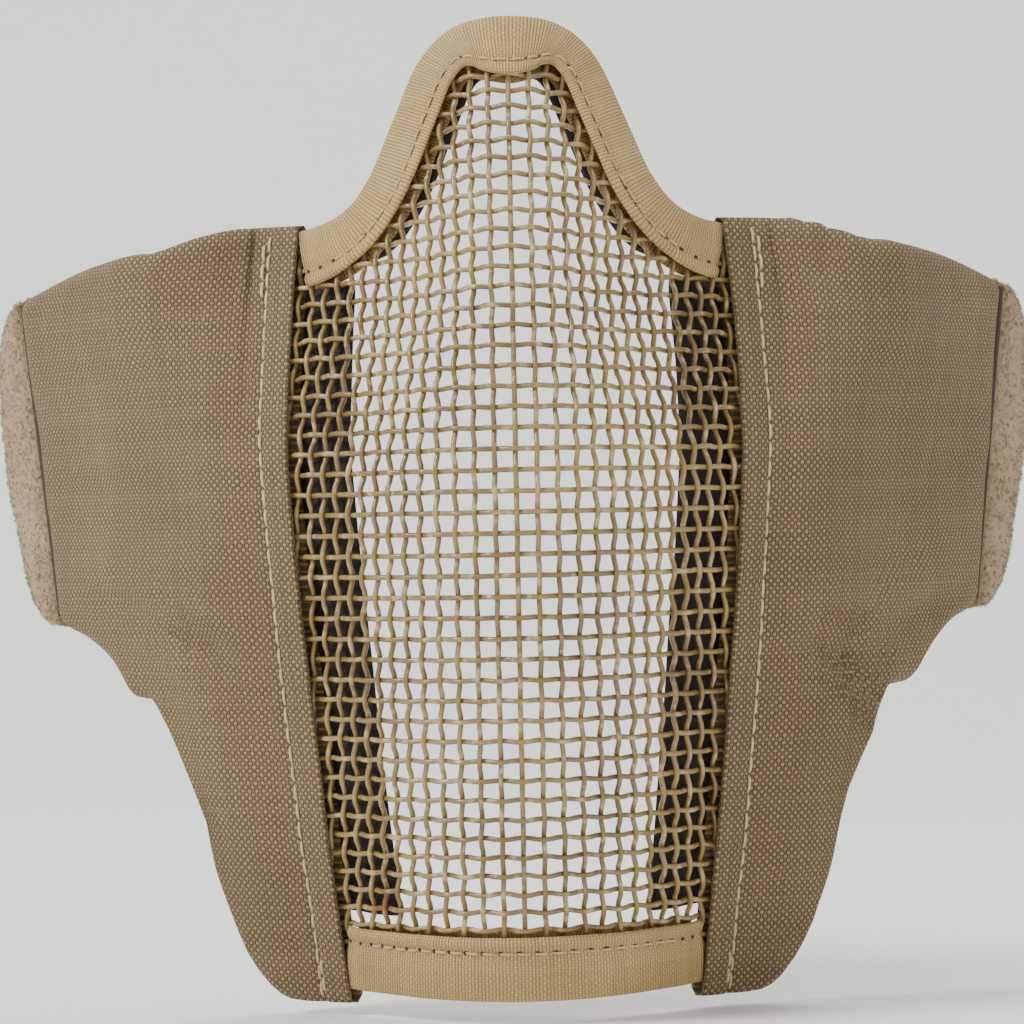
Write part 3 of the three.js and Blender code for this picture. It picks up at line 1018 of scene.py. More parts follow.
@dataclass(frozen=True)
class KnitFoam(Finish):
    """Knit-faced foam: small stitches over a soft, uneven ground."""

    stitch: float = 0.8
    light: tuple[float, ...] = tone(66, 58, 51)
    dark: tuple[float, ...] = tone(34, 30, 27)

    def draw(self, graph: Graph) -> dict[str, Value]:
        """Draw the knit's dimples, with painted shade in them, and the worn patches."""
        place = graph.millimetres()
        knit = graph.node("TexVoronoi", feature="SMOOTH_F1")
        graph.feed(knit.inputs["Vector"], place)
        knit.inputs["Scale"].default_value = 1 / self.stitch
        knit.inputs["Randomness"].default_value = 0.35
        dimple = graph.rise(knit.outputs["Distance"], 0.1, 0.6)
        mottle = graph.effect(effects().mottle, Place=place, Size=18.0)
        fuzz = graph.effect(effects().fuzz, Place=place, Size=0.6)
        share = graph.math("MULTIPLY_ADD", mottle["Patches"], 0.7, -0.15)
        share = graph.math("MULTIPLY_ADD", fuzz["Fibre"], 0.3, share, clamp=True)
        colour = graph.blend(share, self.dark, self.light)
        # Painted shade in the knit's dimples.
        colour = graph.blend(graph.math("MULTIPLY", dimple, 0.5), colour, self.dark)
        height = graph.math("SUBTRACT", graph.math("MULTIPLY", fuzz["Fibre"], 0.25), dimple)
        return {"Base Color": colour, "Normal": graph.bump(height, 0.3, 0.8)}


@dataclass(frozen=True)
class TwistedThread(Finish):
    """Sewing thread with a visible twist."""

    colour: tuple[float, ...] = tone(214, 199, 160)
    # Darker tone for the uneven patches and for the painted shade in the twist's grooves.
    shade: tuple[float, ...] = tone(160, 140, 100)
    lay: float = 1.1

    def draw(self, graph: Graph) -> dict[str, Value]:
        """Draw the twist, with painted shade in its grooves."""
        u, v, _ = graph.parts(graph.cloth_map())
        turns = graph.math("MULTIPLY_ADD", u, 1 / self.lay, graph.math("MULTIPLY", v, 2.0))
        twist = graph.effect(effects().ribs, Distance=turns, Pitch=0.5)
        mottle = graph.effect(effects().mottle, Place=graph.millimetres(), Size=9.0)
        share = graph.math("MULTIPLY_ADD", mottle["Patches"], 0.8, -0.2)
        # Painted shade in the twist's grooves.
        share = graph.math("MULTIPLY_ADD", twist["Gap"], 0.6, share, clamp=True)
        colour = graph.blend(share, self.colour, self.shade)
        return {"Base Color": colour, "Normal": graph.bump(twist["Height"], 0.1, 0.7)}


@dataclass(frozen=True)
class LoopPile(Finish):
    """Pale brushed loop pile, soft and fibrous."""

    light: tuple[float, ...] = tone(208, 183, 146)
    dark: tuple[float, ...] = tone(162, 135, 100)

    def draw(self, graph: Graph) -> dict[str, Value]:
        """Draw tangled fibres over darker hollows."""
        place = graph.millimetres()
        fuzz = graph.effect(effects().fuzz, Place=place, Size=0.7)
        mottle = graph.effect(effects().mottle, Place=place, Size=12.0)
        share = graph.math("MULTIPLY_ADD", mottle["Patches"], 0.6, -0.05)
        share = graph.math("MULTIPLY_ADD", fuzz["Fibre"], 0.4, share, clamp=True)
        colour = graph.blend(share, self.dark, self.light)
        height = graph.math("MULTIPLY_ADD", mottle["Specks"], 0.8, fuzz["Fibre"])
        return {"Base Color": colour, "Normal": graph.bump(height, 0.3, 0.8)}


@dataclass(frozen=True)
class ElasticWeb(Finish):
    """Elastic webbing: ribs along it, crossed by fine weft."""

    light: tuple[float, ...] = tone(142, 122, 88)
    dark: tuple[float, ...] = tone(104, 87, 60)

    def draw(self, graph: Graph) -> dict[str, Value]:
        """Draw the ribs, the weft, uneven patches and painted shade in the dips."""
        u, v, _ = graph.parts(graph.cloth_map())
        ribs = graph.effect(effects().ribs, Distance=v, Pitch=1.3)
        weft = graph.effect(effects().ribs, Distance=u, Pitch=0.55)
        mottle = graph.effect(effects().mottle, Place=graph.millimetres(), Size=14.0)
        share = graph.math("MULTIPLY_ADD", mottle["Patches"], 0.7, -0.1)
        share = graph.math("MULTIPLY_ADD", ribs["Shade"], 0.3, share, clamp=True)
        colour = graph.blend(share, self.dark, self.light)
        # Painted shade in the dips between the ribs and the weft.
        dip_shade = graph.math("MULTIPLY", graph.math("MAXIMUM", ribs["Gap"], weft["Gap"]), 0.6)
        colour = graph.blend(dip_shade, colour, tone(62, 50, 34))
        height = graph.math("MULTIPLY_ADD", weft["Height"], 0.35, ribs["Height"])
        return {"Base Color": colour, "Normal": graph.bump(height, 0.22, 0.9)}


@dataclass(frozen=True)
class MouldedPlastic(Finish):
    """Tan moulded plastic with a fine grain and rubbed patches."""

    light: tuple[float, ...] = tone(134, 116, 84)
    dark: tuple[float, ...] = tone(110, 94, 66)

    def draw(self, graph: Graph) -> dict[str, Value]:
        """Draw the moulded grain and the smoother, rubbed places."""
        place = graph.millimetres()
        mottle = graph.effect(effects().mottle, Place=place, Size=7.0)
        rubbed = graph.rise(mottle["Patches"], 0.42, 0.66)
        colour = graph.blend(rubbed, self.dark, self.light)
        rough = graph.math("MULTIPLY_ADD", rubbed, -0.16, 0.52)
        return {
            "Base Color": colour,
            "Roughness": rough,
            "Normal": graph.bump(mottle["Specks"], 0.06, 0.6),
        }


WING_CLOTH = WingWeave("wing cloth", "cloth", 0.85, sheen=0.03)
EDGE_TAPE = RibbedTape("edge tape", "tape", 0.82, sheen=0.03)
WIRE_PAINT = PaintedWire("painted wire", "mesh_paint", 0.4, coat=0.25)
PAD_FOAM = KnitFoam("knit-faced foam", "pad_foam", 0.92)
LINING = KnitFoam("knit lining", "lining", 0.9, 0.1, stitch=1.3, light=tone(60, 55, 50))
PALE_THREAD = TwistedThread("pale thread", "thread", 0.6, 0.1)
TAN_THREAD = TwistedThread(
    "tan thread", "thread", 0.65, 0.1, colour=tone(206, 186, 144), shade=tone(150, 126, 84)
)
DARK_THREAD = TwistedThread(
    "dark thread", "thread", 0.75, 0.0, colour=tone(70, 54, 38), shade=tone(38, 29, 21)
)
PILE = LoopPile("loop pile", "loop_pile", 0.95, 0.12)
HOOKS = MouldedPlastic(
    "hook tape", "loop_pile", 0.5, light=tone(150, 130, 96), dark=tone(138, 118, 85)
)
WEBBING = ElasticWeb("elastic webbing", "webbing", 0.85, 0.1)
PLASTIC = MouldedPlastic("moulded plastic", "slider_plastic", 0.45)


# ---- woven wire front ------------------------------------------------------------------------


@dataclass
class WireCloth:
    """Plain-woven wire cloth, draped over the dome so that the pitch stays the same."""

    dome: Dome = field(default_factory=Dome)
    pitch: float = 4.0
    wire_radius: float = 0.52
    crimp: float = 0.44
    columns_each_side: int = 29
    rows_down: int = 27
    rows_up: int = 29
    steps: int = 6
    sides: int = 8
    unevenness: float = 0.13

    def crossing(self, x: float, z: float) -> Vector:
        """Return the dome's point at (x, z) without an offset."""
        return Vector((x, self.dome.depth(x, z) - self.dome.lip_clearance, z))

    def walk(self, start: Vector, dx: float, dz: float) -> Vector:
        """Return the point one pitch along the dome from a start, in a direction."""
        reach = self.pitch
        for _ in range(6):
            place = self.crossing(start.x + dx * reach, start.z + dz * reach)
            reach *= self.pitch / (place - start).length
        return self.crossing(start.x + dx * reach, start.z + dz * reach)

    def meet(self, one: Vector, other: Vector, guess: Vector) -> Vector:
        """Return the point of the dome that is one pitch from two others, near a guess."""
        x, z, step = guess.x, guess.z, 0.01

        def misses(px: float, pz: float) -> tuple[float, float]:
            """Return how far (px, pz) is from one pitch to each neighbour."""
            place = self.crossing(px, pz)
            return (place - one).length - self.pitch, (place - other).length - self.pitch

        for _ in range(8):
            f0, g0 = misses(x, z)
            fx, gx = misses(x + step, z)
            fz, gz = misses(x, z + step)
            a, b, c, d = (fx - f0) / step, (fz - f0) / step, (gx - g0) / step, (gz - g0) / step
            size = a * d - b * c
            if abs(size) < 1e-6:
                break
            x -= max(-2.0, min(2.0, (d * f0 - b * g0) / size))
            z -= max(-2.0, min(2.0, (a * g0 - c * f0) / size))
        return self.crossing(x, z)

    def net(self) -> dict[tuple[int, int], Vector]:
        """Return the crossings of the right half, by column and row."""
        grid = {(0, 0): self.crossing(0.0, 0.0)}
        for i in range(1, self.columns_each_side + 1):
            grid[i, 0] = self.walk(grid[i - 1, 0], 1, 0)
        for sign, count in ((1, self.rows_up), (-1, self.rows_down)):
            for j in range(1, count + 1):
                row = sign * j
                grid[0, row] = self.walk(grid[0, row - sign], 0, sign)
                for i in range(1, self.columns_each_side + 1):
                    one, other = grid[i - 1, row], grid[i, row - sign]
                    guess = one + other - grid[i - 1, row - sign]
                    grid[i, row] = self.meet(one, other, guess)
        return grid

    def wire(self, crossings: Sequence[Vector], first_sign: int) -> list[Strand]:
        """Return the stretches of one wire that lie on the cloth.

        Args:
            crossings: Where it crosses the other wires.
            first_sign: 1 if it passes over at its first crossing, -1 if under.

        Returns:
            The wire's strands, waved over and under.
        """
        runs: list[list[tuple[Vector, Vector]]] = [[]]
        last = len(crossings) - 1
        for k in range(last):
            p0, p1 = crossings[max(0, k - 1)], crossings[k]
            p2, p3 = crossings[k + 1], crossings[min(last, k + 2)]
            for step in range(self.steps):
                t = step / self.steps
                place = 0.5 * (
                    2 * p1
                    + t * (p2 - p0)
                    + t * t * (2 * p0 - 5 * p1 + 4 * p2 - p3)
                    + t**3 * (3 * p1 - p0 - 3 * p2 + p3)
                )
                if not self.dome.holds(place.x, place.z):
                    runs.append([])
                    continue
                base, outward = self.dome.frame_at(place.x, place.z)
                turn = first_sign * (-1) ** k * math.cos(math.pi * t)
                squared = math.copysign(abs(turn) ** 0.8, turn)
                runs[-1].append((base + outward * self.crimp * squared, outward))
        return [
            Strand(
                tuple(p for p, _ in run),
                tuple(n for _, n in run),
                (self.wire_radius,) * len(run),
            )
            for run in runs
            if len(run) > self.steps
        ]

    def build(self) -> list[bpy.types.Object]:
        """Build the upright and the level wires as two pieces."""
        grid = self.net()
        full: dict[tuple[int, int], Vector] = {}
        for (i, j), place in grid.items():
            for sign in (1, -1):
                spot = (place.x * sign, place.z, 0.0)
                x = place.x * sign + self.unevenness * wobble(spot, 3.0, 2.0)
                z = place.z + self.unevenness * wobble(spot, 3.0, 9.0)
                full[i * sign, j] = self.crossing(x, z)
        across, up = self.columns_each_side, range(-self.rows_down, self.rows_up + 1)
        upright: list[Strand] = []
        for i in range(-across, across + 1):
            upright += self.wire([full[i, j] for j in up], (-1) ** (i - self.rows_down))
        level: list[Strand] = []
        for j in up:
            line = [full[i, j] for i in range(-across, across + 1)]
            level += self.wire(line, (-1) ** (j - across + 1))
        pieces = [
            strands_piece("wire_cloth_uprights", upright, self.sides),
            strands_piece("wire_cloth_levels", level, self.sides),
        ]
        for piece in pieces:
            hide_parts("wire_mesh_panel")
            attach(piece, "face")
            dress(piece, WIRE_PAINT)
        return pieces


# ---- folded tape edging ----------------------------------------------------------------------


@dataclass
class TapeEdge:
    """Ribbed tape folded over an edge of the wire cloth and stitched through it."""

    name: str
    curve: Curve
    inward_sign: int
    flap: float
    cut: float
    pad_name: str
    dome: Dome = field(default_factory=Dome)
    steps: int = 120
    inner: float = 1.15
    outer: float = 2.05
    stitch_inset: float = 3.2
    apex_extra: float = 0.0
    stitch_pitch: float = 3.4
    stitch_length: float = 2.55
    thread_radius: float = 0.25
    bare_steps: int = 4
    seam_row: int = 5

    def frames(self) -> list[Station]:
        """Return x, z, the inward direction and its reach at each step along the edge."""
        out = []
        for k in range(self.steps + 1):
            t = lerp(self.cut, 1 - self.cut, k / self.steps)
            x, z = self.curve.at(t)
            ahead, behind = self.curve.at(min(1, t + 0.004)), self.curve.at(max(0, t - 0.004))
            ax, az = ahead[0] - behind[0], ahead[1] - behind[1]
            size = math.hypot(ax, az)
            in_x, in_z = az / size * self.inward_sign, -ax / size * self.inward_sign
            rise = self.dome.depth(x + in_x, z + in_z) - self.dome.depth(x, z)
            out.append((x, z, in_x, in_z, 1 / math.sqrt(1 + rise * rise)))
        return out

    def place(self, at: Station, d: float, h: float) -> Vector:
        """Return the point a distance d over the cloth and an offset h off it."""
        x, z, in_x, in_z, reach = at
        return self.dome.point(x + in_x * d * reach, z + in_z * d * reach, h)

    def tuck(self, share: float) -> float:
        """Return how far the tape is pressed down near its ends, under the side hems."""
        return 0.35 * (1 - smoothstep(min(share, 1 - share), 0.0, 0.05))

    def section(self, share: float, length: float) -> list[Pair]:
        """Return the tape's section as (distance over the cloth, offset), outside first."""
        drop = self.tuck(share)
        wave = 0.16 * wobble((length, 0, 0), 9.0, self.flap)
        edge = self.flap + 0.3 * wobble((length, 5, 0), 12.0, self.flap)
        edge += self.apex_extra * bell(share - 0.5, 0.075)
        seam = edge - self.stitch_inset
        pull = 0.3 + 0.12 * math.cos(2 * math.pi * length / self.stitch_pitch)
        high = self.outer - drop + wave
        rows = [edge + 0.25, edge, edge - 0.8, edge - 1.7, seam + 0.7, seam, seam - 0.7]
        lifts = [-0.55, -0.05, 0.22, 0.2, -0.12, -pull, -0.1]
        out = [(d, high + lift) for d, lift in zip(rows, lifts)]
        for k in range(1, 4):
            d = (seam - 0.7) * (1 - k / 4)
            out.append((d, high + 0.12 * math.sin(math.pi * k / 4) + 0.05))
        for k in range(7):
            angle = math.pi * k / 6
            out.append((-1.25 * math.sin(angle) - 0.1, (high + 0.05) * math.cos(angle)))
        out += [(d, -self.outer - 0.03) for d in (3.0, seam, edge - 0.5)]
        out += [(edge, -self.outer + 0.4), (edge - 0.4, -self.inner), (3.0, -self.inner)]
        out += [(0.1, -self.inner * 0.8), (0.1, self.inner * 0.8), (3.0, self.inner)]
        return [*out, (edge - 0.4, self.inner - drop)]

    def build(self) -> list[bpy.types.Object]:
        """Build the tape, its stitches and the padding behind it."""
        frames = self.frames()
        spine = [self.place(at, 0, 0) for at in frames]
        lengths = path_lengths(spine)
        rings = []
        for k, at in enumerate(frames):
            section = self.section(k / self.steps, lengths[k])
            rings.append([self.place(at, d, h) for d, h in section])
        round_it = ring_lengths(rings[len(rings) // 2])
        first, seam = lengths[self.bare_steps], round_it[self.seam_row]

        def cloth_place(i: int, j: int) -> Pair:
            """Return (u, v) counted from the first stitch and from the seam."""
            return lengths[i] - first, round_it[j] - seam

        tape = swept(f"{self.name}_tape", rings, cloth_place)
        normals, places = [], []
        for k, at in enumerate(frames):
            drift = 0.22 * wobble((lengths[k], 0, 0), 8.0, 3.0)
            d = self.flap - self.stitch_inset + drift
            d += self.apex_extra * bell(k / self.steps - 0.5, 0.075)
            places.append(self.place(at, d, self.outer - 0.25 - self.tuck(k / self.steps)))
            normals.append((self.place(at, d, 3) - self.place(at, d, 2)).normalized())
        inner = slice(self.bare_steps, self.steps + 1 - self.bare_steps)
        thread = strands_piece(
            f"{self.name}_stitches",
            stitches(
                places[inner],
                normals[inner],
                self.stitch_pitch,
                self.stitch_length,
                self.thread_radius,
                0.35,
            ),
            6,
        )
        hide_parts(self.name)
        dress(tape, EDGE_TAPE)
        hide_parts(self.name.replace("binding", "stitching"))
        dress(thread, TAN_THREAD)
        pad = self.build_pad(frames)
        for piece in (tape, thread, pad):
            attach(piece, "face")
        return [tape, thread, pad]

    def build_pad(self, frames: list[Station]) -> bpy.types.Object:
        """Build the soft padding behind the tape."""
        rings = []
        count = len(frames)
        for k in range(4, count - 4, 2):
            share = (k - 4) / (count - 9)
            end = min(1.0, min(share, 1 - share) / 0.05)
            round_end = math.sqrt(max(0.02, 1 - (1 - end) ** 2))
            ring = []
            for step in range(14):
                angle = 2 * math.pi * step / 14
                c, s = math.cos(angle), math.sin(angle)
                d = 5.8 + 5.2 * math.copysign(abs(c) ** 0.5, c) * round_end
                h = -4.1 + 1.75 * math.copysign(abs(s) ** 0.6, s) * round_end
                ring.append(self.place(frames[k], d, h))
            rings.append(ring)
        spine = path_lengths([ring[0] for ring in rings])
        round_it = ring_lengths(rings[len(rings) // 2])
        pad = swept(f"{self.pad_name}ding", rings, lambda i, j: (spine[i], round_it[j]))
        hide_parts(self.pad_name)
        dress(pad, PAD_FOAM)
        return pad


def tape_edges() -> list[TapeEdge]:
    """Return the nose and the chin edging."""
    dome = Dome()
    nose = TapeEdge("nose_binding", dome.nose_curve(), 1, 12.5, 0.04, "nose_pad", apex_extra=1.8)
    chin = TapeEdge("chin_binding", dome.chin_curve(), -1, 14.0, 0.085, "chin_pad", steps=56)
    return [nose, chin]


# ---- padded wings ------------------------------------------------------------------------------


@dataclass
class WingCloth:
    """A wing's cloth: the cover with its hem over the wire, the lining, and their stitches."""

    side: Side
    form: Wing = field(default_factory=Wing)
    hem_start: float = -8.0
    seam_line: float = -1.5
    rings: int = 100
    crown: float = 2.5
    edge_radius: float = 4.2

    def heights(self) -> list[float]:
        """Return the shares v of the rings, closer together near the wing's edges."""
        out = []
        for k in range(self.rings + 1):
            t = k / self.rings
            out.append(0.72 * t + 0.28 * (0.5 - 0.5 * math.cos(math.pi * t)))
        return out

    def rim(self, s: float, v: float) -> float:
        """Return the cloth's share of its full thickness: none at the wing's edges."""
        tall = lerp(155.0, 74.0, smoothstep(s, 8, 60))
        radius = lerp(1.8, self.edge_radius, smoothstep(s, -2, 6))
        share = min(1.0, min(v, 1 - v) * tall / radius)
        return math.sqrt(max(0.0, 1 - (1 - share) ** 2))

    def creases(self, place: Vector) -> float:
        """Return the depth of the soft creases at a place, seen from the front."""
        left = self.side is Side.LEFT
        runs = (
            ((80, -16), (57, -26), 3.4, 2.1) if left else ((55, -24), (73, -41), 3.8, 2.2),
            ((58, -26), (46, -52), 4.5, 1.1),
            ((70, -30), (60, -62), 4.0, 1.2) if left else ((84, -18), (62, -30), 3.5, 1.3),
            ((52, 40), (60, 57), 4.0, 0.8) if left else ((60, 44), (65, 57), 2.6, 0.9),
            ((90, 10), (76, 4), 5.0, 0.9),
        )
        total = 0.0
        for (x0, z0), (x1, z1), width, depth in runs:
            dx, dz = x1 - x0, z1 - z0
            size = math.hypot(dx, dz)
            along_it = ((place.x - x0) * dx + (place.z - z0) * dz) / size
            off = abs((place.x - x0) * dz - (place.z - z0) * dx) / size
            fade = smoothstep(along_it, -6, 4) * (1 - smoothstep(along_it, size - 4, size + 8))
            total += depth * bell(off, width) * fade
        return total

    def front(self, s: float, v: float, end: float) -> float:
        """Return how far the cover's outside stands off the middle surface.

        Args:
            s: Distance from the edge of the wire cloth.
            v: Share of the way up the wing.
            end: The largest s at this height, where the pile starts.

        Returns:
            The offset outwards, in mm.
        """
        place, _ = self.form.frame_at(s, v)
        seed = 11.0 * self.side.value
        body = smoothstep(s, self.seam_line + 0.5, 14) * (1 - 0.75 * smoothstep(s, end - 6, end))
        height = 2.55 + self.crown * body - 0.9 * smoothstep(s, end - 1.6, end)
        height -= 0.75 * bell(s - self.seam_line, 0.9)
        height -= 0.5 * bell(s - self.form.s_of(0), 7.0)
        spot = (place.x, place.z, 0.0)
        height += body * (1.7 * wobble(spot, 25.0, seed) + 0.6 * wobble(spot, 10.0, seed))
        height += (1 - body) * 0.16 * wobble(spot, 6.0, seed + 3)
        pucker = math.sin(2 * math.pi * place.z / 6.4 + 3 * wobble(spot, 20.0, seed + 5))
        height += 0.16 * pucker * bell(s - self.seam_line - 2.6, 2.4)
        height -= body * self.creases(place)
        return height * self.rim(s, v)

    def back(self, s: float, v: float) -> float:
        """Return how far the wing's inside stands off the middle surface, outwards."""
        body = smoothstep(s, 0, 14)
        spot, _ = self.form.frame_at(s, v)
        soft = 0.3 * wobble((spot.x, spot.z, 9.0), 22.0, 4.0) * body
        return -(2.3 + 0.7 * body + soft) * self.rim(s, v)

    def stops(self, end: float) -> list[float]:
        """Return the distances s at which the cover has points, from the hem to the pile."""
        hem = [-8.0, -7.6, -6.9, -5.6, -4.2, -2.9, -2.1, -1.5, -0.9, -0.1, 1.0, 2.2]
        count = 38
        return hem + [lerp(3.6, end, k / count) for k in range(count + 1)]

    def hem_drift(self, v: float) -> float:
        """Return how far the hem's folded edge strays along the cloth at a height."""
        return 0.35 * wobble((v * 155, 0, 0), 16.0, 5.0 * self.side.value)

    def point(self, s: float, v: float, offset: float) -> Vector:
        """Return a point off the wing's middle surface, on this side."""
        drift = self.hem_drift(v) * (1 - smoothstep(s, self.hem_start, self.seam_line))
        place, outward = self.form.frame_at(s + drift, v)
        place = place + outward * offset
        ruffle = 0.0
        if self.side is Side.RIGHT:
            ruffle = 0.35 * math.sin(place.x * 1.15) * bell(place.x - 62.0, 7.0)
        place.z += ruffle * smoothstep(v, 0.93, 1.0)
        return sided(self.side, place)

    def build(self) -> list[bpy.types.Object]:
        """Build the cover, the lining and the hem's stitches."""
        rings, flat_u, flat_v = [], [], []
        for v in self.heights():
            end = self.form.s_of(self.form.seam_on(v, 0.9))
            stops = self.stops(end)
            front = [self.point(s, v, self.front(s, v, end)) for s in stops]
            inside = stops[-1:10:-2]
            back = [self.point(s, v, self.back(s, v)) for s in inside]
            rim = self.rim(self.hem_start, v)
            slot = ((-7.7, -2.1), (-8.0, -1.7), (-7.7, -1.35), (-4.0, -1.3), (-0.8, -1.25))
            slot += ((-0.5, 0.0), (-0.8, 1.3), (-4.0, 1.4), (-7.7, 1.45), (-8.05, 1.9))
            lip = [self.point(s, v, h * rim) for s, h in slot]
            rings.append(front + back + lip)
            run = [0.0]
            for a, b in zip(front, front[1:]):
                run.append(run[-1] + math.hypot(b.x - a.x, b.y - a.y))
            inner_u = [run[stops.index(s)] for s in inside]
            flat_u.append(run + inner_u + [1.0] * len(slot) + [run[0]])
            flat_v.append([p.z for p in rings[-1]] + [front[0].z])
        name = f"{self.side.word}_wing_cover"
        cover = swept(name, rings, lambda i, j: (flat_u[i][j], flat_v[i][j]), close_ends=False)
        word = self.side.word
        nodes = ("hem", "cheek_cover", "cheek_foam", "fold", "ear_cover", "ear_foam")
        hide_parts(*[f"{word}_{node}" for node in nodes])
        dress(cover, WING_CLOTH)
        self.cross_fold(cover)
        return [cover, self.build_lining(), self.build_hem_stitches(), self.build_side_pad()]

    def cross_fold(self, piece: bpy.types.Object) -> None:
        """Bake a piece's transform into its mesh; the fold's ends are worked out but not used."""
        form = self.form
        start, _ = form.frame_at(form.s_of(-6.0), 0.5)
        end = form.ear_frame(7.0, 0, start.z)
        start, end = sided(self.side, start) * MM, sided(self.side, end) * MM
        tuple(start)
        tuple(end)
        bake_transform(piece)

    def build_lining(self) -> bpy.types.Object:
        """Build the dark lining on the inside, from the hem to the inner pile."""
        rings, flat = [], []
        last = self.form.s_of(29.0)
        stops = [lerp(1.0, last, k / 26) for k in range(27)]
        heights = [lerp(0.012, 0.988, k / 60) for k in range(61)]
        for v in heights:
            near = [self.point(s, v, self.back(s, v) - 0.12) for s in stops]
            far = [self.point(s, v, self.back(s, v) - 0.75) for s in reversed(stops)]
            rings.append(near + far)
            across = [*stops, *reversed(stops), stops[0]]
            heights_round = [p.z for p in (*rings[-1], near[0])]
            flat.append(list(zip(across, heights_round)))
        name = f"{self.side.word}_wing_lining"
        lining = swept(name, rings, lambda i, j: flat[i][j])
        word = self.side.word
        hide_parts(f"{word}_cheek_lining", f"{word}_ear_lining")
        dress(lining, LINING)
        self.cross_fold(lining)
        return lining

    def build_hem_stitches(self) -> bpy.types.Object:
        """Build the pale stitches along the hem, doubled at both ends."""
        rows = []
        for first, last, shift in ((0.012, 0.99, 0.0), (0.9, 0.985, 0.9), (0.02, 0.075, -0.9)):
            path, normals = [], []
            for k in range(90):
                v = lerp(first, last, k / 89)
                s = self.seam_line + shift + 0.45 * wobble((v * 155, 3, 0), 15.0, 8.0)
                end = self.form.s_of(40.0)
                low = self.point(s, v, self.front(s, v, end))
                path.append(low)
                normals.append((self.point(s, v, self.front(s, v, end) + 1) - low).normalized())
            rows += stitches(path, normals, 3.9, 3.4, 0.3, 0.35)
        thread = strands_piece(f"{self.side.word}_hem_stitches", rows, 6)
        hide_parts(f"{self.side.word}_hem_stitching")
        dress(thread, PALE_THREAD)
        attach(thread, "face")
        return thread

    def build_side_pad(self) -> bpy.types.Object:
        """Build the dark padding strip behind the wire cloth, beside the hem."""
        rings = []
        count = 56
        for k in range(count + 1):
            share = k / count
            z = lerp(-79.5, 46.5, share)
            end = min(1.0, min(share, 1 - share) / 0.03)
            rounded = math.sqrt(max(0.03, 1 - (1 - end) ** 2))
            ring = []
            wave = 0.5 * wobble((z, 0, 0), 14.0, 6.0 * self.side.value)
            for step in range(14):
                angle = 2 * math.pi * (step + 0.5) / 14
                c, s = math.cos(angle), math.sin(angle)
                half_width = 5.0 + wave * (c < 0)
                across = 11.0 + 0.5 * wave + half_width * math.copysign(abs(c) ** 0.6, c)
                front = lerp(-2.9, -1.6, smoothstep(across, 7.8, 8.8))
                offset = lerp(-4.3, front, 0.5 + 0.5 * math.copysign(abs(s) ** 0.7, s) * rounded)
                x = self.form.dome.edge_width(z) - across
                ring.append(sided(self.side, self.form.dome.point(x, z, offset)))
            rings.append(ring)
        spine = path_lengths([ring[0] for ring in rings])
        round_it = ring_lengths(rings[count // 2])
        name = f"{self.side.word}_side_pad"
        pad = swept(f"{name}ding", rings, lambda i, j: (spine[i], round_it[j]))
        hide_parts(name)
        dress(pad, PAD_FOAM)
        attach(pad, "face")
        return pad


